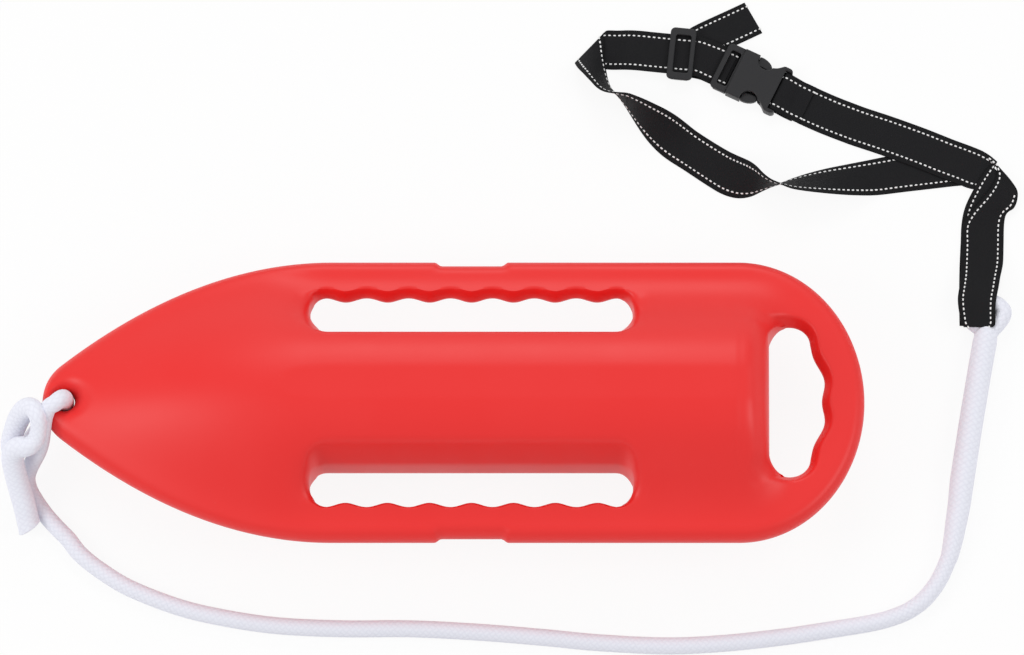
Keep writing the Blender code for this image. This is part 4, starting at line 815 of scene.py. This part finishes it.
def sideGripLoop():
    left, right = hull.gripX - hull.gripLength / 2, hull.gripX + hull.gripLength / 2
    outer, inner, radius = halfBeam - hull.rail, hull.gripInner, hull.gripCorner
    points = []
    for x in np.linspace(right - radius, left + radius, 400):
        off = x - hull.gripX
        inside = abs(off) <= hull.scallops * hull.scallop / 2
        points.append((x, outer - (scallopAt(off, hull.scallop) if inside else 0)))
    points += arcPoints((left + radius, outer - radius), radius, 90, 180, 24)[1:]
    points += arcPoints((left + radius, inner + radius), radius, 180, 270, 24)
    points += arcPoints((right - radius, inner + radius), radius, 270, 360, 24)
    return points + arcPoints((right - radius, outer - radius), radius, 0, 90, 24)[:-1]


def sternGripLoop():
    half, radius, small = hull.sternGrip / 2, hull.sternCorner, hull.sternRimCorner
    deep, wide = hull.sternLength - hull.sternRim, halfBeam - hull.sternRim

    def rimX(y):
        return sternX + deep * math.sqrt(max(1 - (y / wide) ** 2, 0)) - scallopAt(y, hull.sternScallop)

    turnY = half - small * 0.8
    edgeX = rimX(turnY) - small * 0.9
    reach = rimX(turnY) - edgeX
    points = [(rimX(y), y) for y in np.linspace(turnY, -turnY, 160)]
    corner = [(edgeX + reach * math.cos(t), -turnY - (half - turnY) * math.sin(t))
              for t in np.radians(np.arange(10, 90, 10))]
    points += corner + [(edgeX, -half)]
    points += arcPoints((transomX + radius, radius - half), radius, 270, 180, 16)
    points += arcPoints((transomX + radius, half - radius), radius, 180, 90, 16)
    return points + [(edgeX, half)] + [(x, -y) for x, y in reversed(corner)]


def resampled(loop, step):
    # a closed loop with even spacing
    return evenly(np.array(loop + [loop[0]]), step)[:-1]


def searchTree(loop):
    fine = resampled(loop, hull.fineStep)
    tree = KDTree(len(fine))
    for i, (x, y) in enumerate(fine):
        tree.insert((x, y, 0), i)
    tree.balance()
    return tree


def inwardNormals(points, outward):
    tangent = unit(np.roll(points, -2, 0) - np.roll(points, 2, 0))
    after = np.roll(points, -1, 0)
    area = np.sum(points[:, 0] * after[:, 1] - after[:, 0] * points[:, 1])
    return np.stack([-tangent[:, 1], tangent[:, 0]], 1) * (1 if (area > 0) != outward else -1)


def insideLoop(points, loop):
    end = np.roll(loop, -1, 0)
    found = []
    for batch in np.array_split(points, len(points) // 4000 + 1):
        px, py = batch[:, :1], batch[:, 1:]
        crosses = (loop[:, 1] > py) != (end[:, 1] > py)
        rise = np.where(end[:, 1] == loop[:, 1], 1e-12, end[:, 1] - loop[:, 1])
        at = loop[:, 0] + (py - loop[:, 1]) * (end[:, 0] - loop[:, 0]) / rise
        found.append((crosses & (px < at)).sum(1) % 2 == 1)
    return np.concatenate(found)


def spacedOut(taken, offered, least):
    # the offered places that stay clear of those taken and of each other
    cells, found = {}, []
    for number, (x, y) in enumerate([*taken, *offered]):
        column, row = int(x // least), int(y // least)
        if number >= len(taken):
            near = (p for i in (-1, 0, 1) for k in (-1, 0, 1) for p in cells.get((column + i, row + k), ()))
            if any((x - px) ** 2 + (y - py) ** 2 <= least**2 for px, py in near):
                continue
            found.append((x, y))
        cells.setdefault((column, row), []).append((x, y))
    return found


def skinHeights(spots, trees):
    # the body's height, turned in towards every edge: the outline, two side grips, the stern grip and the eye
    full = bodyHeight(spots[:, 0], spots[:, 1])
    found = [[tree.find((x, y, 0)) for x, y in spots] for tree in trees]
    away = np.array([[distance for _, _, distance in row] for row in found])
    aside = [spots - [tuple(place.xy) for place, _, _ in row] for row in found]
    nearest = np.sort(away, axis=0)
    cap = hull.transomEdge + hull.capSlope * np.maximum(transomX - hull.capStart - spots[:, 0], 0)
    radius = np.minimum(np.minimum(hull.edgeShare * full, cap), (nearest[0] + nearest[1]) / 2)
    share = np.clip(np.minimum(away[0], away[4]) / np.maximum(radius, 1e-6), 0, 1)
    height = full * np.sqrt(np.maximum(1 - (1 - share) ** 2, 0))

    def sloped(distance, slope):
        wall = distance * slope + hull.lip * (1 - np.exp(-distance / hull.lipReach))
        return wall + softMax(distance - hull.railReach, 0, hull.wallBlend) * hull.endSlope

    def upright(distance, reach):
        # a wall that stands up from the edge and turns over into the crown
        turned = np.sqrt(np.maximum(1 - (hull.transomTurn * (1 - np.clip(distance / reach, 0, 1))) ** 2, 0))
        return (full + hull.crownSpare) * turned * (1 - np.exp(-distance / hull.edgeReach))

    def turnedTo(way, turn):
        return eased((way - turn[0]) / turn[1])

    for distance, way, sign in zip(away[1:], aside[1:], (1, -1, 0)):
        way = way / np.maximum(distance, 1e-6)[:, None]
        if sign:
            towardCore = turnedTo(np.clip(-way[:, 1] * sign, -1, 1), hull.coreTurn)
            flank = hull.coreWall + (distance - hull.coreWall / hull.coreWallSlope) * hull.coreFlankSlope
            wall = sloped(distance, hull.railSlope)
            wall += (softMin(distance * hull.coreWallSlope, flank, hull.coreBlend) - wall) * towardCore
            end = upright(distance, hull.endReach) + np.maximum(distance - hull.endReach, 0) * hull.endSlope
            wall += (end - wall) * turnedTo(np.abs(way[:, 0]), hull.endTurn)
        else:
            wall = sloped(distance, hull.sternSlope)
            toward = turnedTo(-way[:, 0], hull.sternTurn) * (distance < hull.transomReach)
            wall += (upright(distance, hull.transomReach) - wall) * toward
        height = softMin(height, wall, hull.wallBlend)
    return np.maximum(height, 0)


def hullMesh():
    grip = sideGripLoop()
    loops = [outlineLoop(), grip, [(x, -y) for x, y in reversed(grip)], sternGripLoop(),
             arcPoints((eyeX, 0), hull.eye / 2, 0, 360, 48)[:-1]]
    plugRing = arcPoints((hull.plugX, 0), hull.plugHole / 2, 0, 360, 40)[:-1]
    trees = [searchTree(loop) for loop in loops]
    evenLoops = [resampled(loop, hull.sternStep if len(loop) > 100 else hull.eyeStep) for loop in loops]
    edges, points = [], []
    for loop in evenLoops + [plugRing]:
        first, count = len(points), len(loop)
        points += [tuple(p) for p in loop]
        edges += [(first + i, first + (i + 1) % count) for i in range(count)]
    edgeCount = len(points) - len(plugRing)

    def within(offered):
        good = insideLoop(offered, evenLoops[0])
        for loop in evenLoops[1:]:
            good &= ~insideLoop(offered, loop)
        return good

    def keepInside(offered, margin):
        offered = np.array(offered)
        offered = offered[within(offered)]
        clear = [min(tree.find((x, y, 0))[2] for tree in trees) > margin for x, y in offered]
        return [tuple(p) for p in offered[np.array(clear)]]

    inner = []
    for depth in hull.rings:
        ring = [tuple(p) for index, loop in enumerate(evenLoops) if depth < hull.gripRings or index in (1, 2, 3)
                for p in loop + inwardNormals(loop, index > 0) * depth]
        spacing = hull.closeSpacing if depth < hull.closeRings else hull.ringSpacing
        inner += spacedOut(inner, keepInside(ring, depth * hull.ringMargin), spacing)
    step, rowHeight = hull.step, hull.step * math.sqrt(3) / 2
    rows, columns = int(halfBeam / rowHeight) + 1, int(halfLength / step) + 1
    grid = [((column + 0.5 * (row % 2)) * step, row * rowHeight)
            for row in range(-rows, rows + 1) for column in range(-columns, columns + 1)]
    inner += spacedOut(inner + plugRing, keepInside(grid, hull.gridMargin), hull.gridSpacing * step)
    plan, _, faces, origins, _, _ = delaunay_2d_cdt([Vector(p) for p in points + inner], edges, [], 0, 1e-7)
    spots = np.array([tuple(p) for p in plan])
    onEdge = np.array([any(o < edgeCount for o in origin) for origin in origins])
    height = np.where(onEdge, 0, skinHeights(spots, trees))
    centres = np.array([spots[list(face)].mean(0) for face in faces])
    inPlug, atPlug = (np.hypot(place[:, 0] - hull.plugX, place[:, 1]) < hull.plugHole / 2 - 1e-5
                      for place in (centres, spots))
    # the upper skin, the lower skin that shares its edge, and the floor of the plug's recess
    points = [(x, y, midZ + h) for (x, y), h in zip(spots, height)]
    below, floorOf, triangles = [], {}, []
    for i, ((x, y), h) in enumerate(zip(spots, height)):
        below.append(i if onEdge[i] else len(points))
        if not onEdge[i]:
            points.append((x, y, midZ - h))
    for face, good, plug in zip(faces, within(centres), inPlug):
        if not good:
            continue
        for i in face if plug else ():
            if i not in floorOf:
                floorOf[i] = len(points)
                points.append((*spots[i], hull.plugDepth))
        lowest = floorOf if plug else below
        triangles += [tuple(face), tuple(lowest[i] for i in reversed(face))]
    ring = sorted((i for i in floorOf if not atPlug[i]),
                  key=lambda i: math.atan2(spots[i][1], spots[i][0] - hull.plugX))
    triangles += [(below[b], below[a], floorOf[a], floorOf[b]) for a, b in zip(ring, ring[1:] + ring[:1])]
    return points, triangles


points, triangles = hullMesh()
finished(meshPiece("hull_skin", points, triangles, hullRed, 55), "float", "hull", "float_shell")
print("hull made:", len(points), "points", len(triangles), "faces")


# buckle and slider: moulded plates with rounded edges, in millimetres on their own headings

mouldSettings = {
    "half": 23.0, "plate": 2.2, "edge": 0.85, "sideWall": 2.8, "hair": 0.03, "scoopAt": (22.6, 20.4), "scoop": 8.2,
    "slotHalf": 19.5, "slotStart": 39.4, "earEnd": 48.2,
    "frameLength": 16.0, "frameBar": 4.9, "frameWindow": 17.0, "frameLow": 6.1, "frameHigh": 9.1,
    "railHalf": 19.7, "innerLow": 3.6, "prongLow": 2.8, "prongHigh": 7.8,
    "sliderHalf": 11.8, "sliderReach": 24.6, "sliderWindow": 17.8, "sliderBars": (5.4, 4.4),
    "sliderLow": 8.1, "sliderHigh": 10.9, "sliderCorner": 4.4,
}
mould = SimpleNamespace(**mouldSettings)


def plate(outline, low, high, edge, hole=None):
    # a flat moulding over an outline, with its edges rounded
    curve = bpy.data.curves.new("plate outline", "CURVE")
    curve.dimensions, curve.fill_mode = "2D", "BOTH"
    curve.extrude, curve.offset = (high - low) / 2 - edge, -edge
    curve.bevel_depth, curve.bevel_resolution = edge, 2
    for loop in (outline, hole) if hole else (outline,):
        spline = curve.splines.new("POLY")
        spline.points.add(len(loop) - 1)
        spline.points.foreach_set("co", [c for u, v in loop for c in (u, v, 0.0, 1.0)])
        spline.use_cyclic_u = True
    mesh = evaluatedMesh(linked("plate outline", curve))
    points = [(p.co.x, p.co.y, p.co.z + (low + high) / 2) for p in mesh.vertices]
    return points, [tuple(face.vertices) for face in mesh.polygons]


def crossBar(u, z, radius, reach=21.0, count=16):
    points = [(u + radius * math.cos(a), v, z + radius * math.sin(a)) for v in (-reach, reach)
              for a in (2 * math.pi * i / count for i in range(count))]
    faces = [(i, (i + 1) % count, (i + 1) % count + count, i + count) for i in range(count)]
    return points, faces + [tuple(reversed(range(count))), tuple(range(count, 2 * count))]


def roundedPlan(lowU, highU, half, radius):
    return [corner for u, v, start in ((highU - radius, half - radius, 0), (lowU + radius, half - radius, 90),
                                       (lowU + radius, radius - half, 180), (highU - radius, radius - half, 270))
            for corner in arcPoints((u, v), radius, start, start + 90, 7)]


def oblong(lowU, highU, lowV, highV):
    return [(lowU, lowV), (highU, lowV), (highU, highV), (lowU, highV)]


def mirrored(outline):
    return [(u, -v) for u, v in reversed(outline)]


def onBothSides(outline, low, high, edge):
    return [plate(loop, low, high, edge) for loop in (outline, mirrored(outline))]


def acrossBoth(side):
    # a closed outline from one side's points and the same ones on the other side
    return [(u, -v) for u, v in side] + side[::-1]


def mouldedPiece(name, parts, place, body, node):
    # joins the mouldings, welds them and sets them on the ground at the buckle's or the slider's place
    made = bmesh.new()
    for points, faces in parts:
        corners = [made.verts.new((*pointOn(place, u / 1000, v / 1000), z / 1000)) for u, v, z in points]
        for face in faces:
            made.faces.new([corners[i] for i in face])
    bmesh.ops.remove_doubles(made, verts=made.verts, dist=2e-6)
    bmesh.ops.recalc_face_normals(made, faces=made.faces)
    for face in made.faces:
        face.smooth = True
    for line in made.edges:     # flat tops stay flat beside their rounded edges
        flat = {abs(face.normal.z) > 0.999 for face in line.link_faces}
        line.smooth = len(flat) == 1 and line.calc_face_angle(0.0) < math.radians(40)
    mesh = bpy.data.meshes.new(name)
    made.to_mesh(mesh)
    made.free()
    mesh.materials.append(bucklePlastic)
    finished(linked(name, mesh), body, "buckle", node)


def socketParts():
    half, hair, slot = mould.half, mould.hair, mould.slotHalf
    high = buckle.height * 1000
    neck = [(31.3, 17.2), (33.6, 18.2), (35.8, 19.8), (37.6, 21.5), (38.9, 22.6), (40.0, half)]
    ear = [(45.0, half), (46.6, 22.5), (47.7, 21.5), (mould.earEnd, 20.2)]
    side = [(0.3, 22.2), (0.7, half - hair)] + arcPoints(mould.scoopAt, mould.scoop, 162, 334, 21) + neck + ear
    end = [(33.2, 17.9)] + [(u, v - hair) for u, v in neck[1:] + ear]
    end += [(mould.earEnd - hair, slot + hair), (mould.slotStart + hair, slot + hair)]
    wall = [(0.3 + hair, half - mould.sideWall), (14.6, half - mould.sideWall), (14.6, 22.6),
            (14.2, half - 2 * hair), (0.7, half - 2 * hair), (0.3 + hair, 22.2)]
    top, bottom = ([(mould.earEnd, slot), (start, slot)] for start in (41.6, mould.slotStart))
    return [plate(acrossBoth(side + top), high - mould.plate, high, mould.edge),
            plate(acrossBoth(side + bottom), 0.0, mould.plate, mould.edge),
            plate(acrossBoth(end), hair, high - hair, mould.edge),
            crossBar(buckle.socketBarAt * 1000, high / 2, buckle.socketBar * 500),
            *onBothSides(wall, hair, high - hair, mould.edge - hair)]


def plugParts():
    half, high, rail, low = mould.half, mould.frameHigh, mould.railHalf, mould.innerLow
    back, barU, barZ = -mould.frameLength, -buckle.plugBarBack * 1000, plugBarZ * 1000
    frame = [(u, v) for u, v in roundedPlan(back, 0.15, half, 4.5) if u < -3] + [(0.15, -half), (0.15, half)]
    window = roundedPlan(back + mould.frameBar, -1.5, mould.frameWindow, 1.8)
    guide = [(2.0, -2.4), (26.0, -2.4), (27.0, -1.4), (27.0, 1.4), (26.0, 2.4), (2.0, 2.4)]
    return [plate(frame, mould.frameLow, high, mould.edge, window),
            plate(oblong(-1.4, 4.0, -19.8, 19.8), low, high - 0.05, 0.5), plate(guide, 4.0, 7.6, 0.4),
            crossBar(barU, barZ, buckle.plugBar * 500),
            *onBothSides(oblong(back + 4.0, 0.1, rail, half - 0.1), low, high - 0.06, 0.5),
            *onBothSides(oblong(barU - 2.2, barU + 2.2, rail, 21.8), barZ - 1.3, 4.6, 0.4)]


def sliderParts():
    half, reach, low, high = mould.sliderHalf, mould.sliderReach, mould.sliderLow, mould.sliderHigh
    window = roundedPlan(mould.sliderBars[0] - half, half - mould.sliderBars[1], mould.sliderWindow, 1.6)
    skirt = [(-8.6, 20.0), (8.6, 20.0), (8.6, 23.0), (7.4, reach - 0.4), (-7.4, reach - 0.4), (-8.6, 23.0)]
    return [plate(roundedPlan(-half, half, reach, mould.sliderCorner), low, high, mould.edge, window),
            crossBar(0, sliderBarZ * 1000, slider.bar * 500), *onBothSides(skirt, 6.0, low + 1.2, 0.8),
            *onBothSides(oblong(-4.4, 2.8, 20.0, 22.9), 1.8, low + 1.2, 0.6)]


prong = [(4.5, 13.9), (20.0, 13.9), (26.4, 13.4), (28.4, 14.2), (29.3, 15.8), (28.8, 17.5), (27.2, 19.3),
         (25.0, 20.8), (22.0, 22.0), (18.8, 22.6), (16.2, 22.7), (15.2, 22.3), (15.0, 20.2), (14.9, 18.2),
         (14.2, 17.3), (4.5, 17.3)]
prongs = onBothSides(prong, mould.prongLow, mould.prongHigh, 0.6)
for name, parts, place, body, node in (("socket_moulding", socketParts(), buckle, "socket", "buckle_socket"),
                                       ("plug_moulding", plugParts(), buckle, "float", "buckle_plug"),
                                       ("prong_left_moulding", prongs[:1], buckle, "prong_left", "prong_left"),
                                       ("prong_right_moulding", prongs[1:], buckle, "prong_right", "prong_right"),
                                       ("slider_moulding", sliderParts(), slider, "slider", "strap_slider")):
    mouldedPiece(name, parts, place, body, node)
plugDisc = frame["nodes"]["blow_hole_plug"].data
plugDisc.materials.clear()
plugDisc.materials.append(plugRed)
print("buckle and slider made")


# floor, light and camera

studioSettings = {
    "floorSize": 8.0, "floorColour": (0.9, 0.9, 0.9, 1), "floorGlow": 0.9, "worldLevel": 0.60,
    "lamps": (((-2.0, -0.5, 1.7), 21.0), ((2.1, -0.4, 1.8), 15.0), ((0.1, 2.2, 2.0), 17.0)),
    "lampSize": 1.4, "lampTarget": (0.05, 0.05, 0.05),
    "cameraTilt": 73.0, "cameraDistance": 20.0, "cameraTarget": (0.05285, 0.07086, 0.065), "frameWidth": 0.9252,
}
studio = SimpleNamespace(**studioSettings)


def whiteLight(tree, kind, strength=1.0):
    return addNode(tree, kind, {"Color": (1, 1, 1, 1), "Strength": strength})


def blended(tree, factor, a, b, out):
    feed(addNode(tree, "ShaderNodeMixShader", {0: factor, 1: a, 2: b}), out.inputs["Surface"])


floorMaterial = materialWith("studio floor", lambda tree: {
    "Base Color": studio.floorColour, "Roughness": 0.9, "Specular IOR Level": 0.0})
tree = floorMaterial.node_tree
seen = addNode(tree, "ShaderNodeLightPath").outputs
either = Wire(seen["Is Camera Ray"]).math("MAXIMUM", seen["Is Glossy Ray"])
either = either.math("MAXIMUM", seen["Is Transmission Ray"])
blended(tree, either * studio.floorGlow, tree.nodes["Principled BSDF"], whiteLight(tree, "ShaderNodeEmission"),
        tree.nodes["Material Output"])
rim = [(x, y, 0) for x, y in arcPoints((0, 0), studio.floorSize / 2, 0, 360, 96)[:-1]]
meshPiece("studio_floor", rim, [tuple(range(96))], floorMaterial)

for index, (place, power) in enumerate(studio.lamps):
    light = bpy.data.lights.new(f"softbox {index + 1}", "AREA")
    light.shape, light.size, light.energy = "DISK", studio.lampSize, power
    holder = linked(light.name, light)
    holder.location = place
    holder.rotation_euler = (Vector(studio.lampTarget) - Vector(place)).to_track_quat("-Z", "Y").to_euler()

world = bpy.data.worlds.new("studio world")
scene.world = world
world.use_nodes = True
tree = world.node_tree
tree.nodes.clear()
blended(tree, addNode(tree, "ShaderNodeLightPath").outputs["Is Camera Ray"],
        whiteLight(tree, "ShaderNodeBackground", studio.worldLevel), whiteLight(tree, "ShaderNodeBackground"),
        addNode(tree, "ShaderNodeOutputWorld"))

tilt = math.radians(studio.cameraTilt)
lens = bpy.data.cameras.new("studio camera")
lens.sensor_width = 36.0
lens.lens = lens.sensor_width * studio.cameraDistance / studio.frameWidth
camera = linked("studio camera", lens)
camera.location = (Vector(studio.cameraTarget)
                   + studio.cameraDistance * Vector((0, -math.cos(tilt), math.sin(tilt))))
camera.rotation_euler = (math.pi / 2 - tilt, 0, 0)
scene.camera = camera
scene.view_settings.view_transform = "Standard"
print("studio ready")
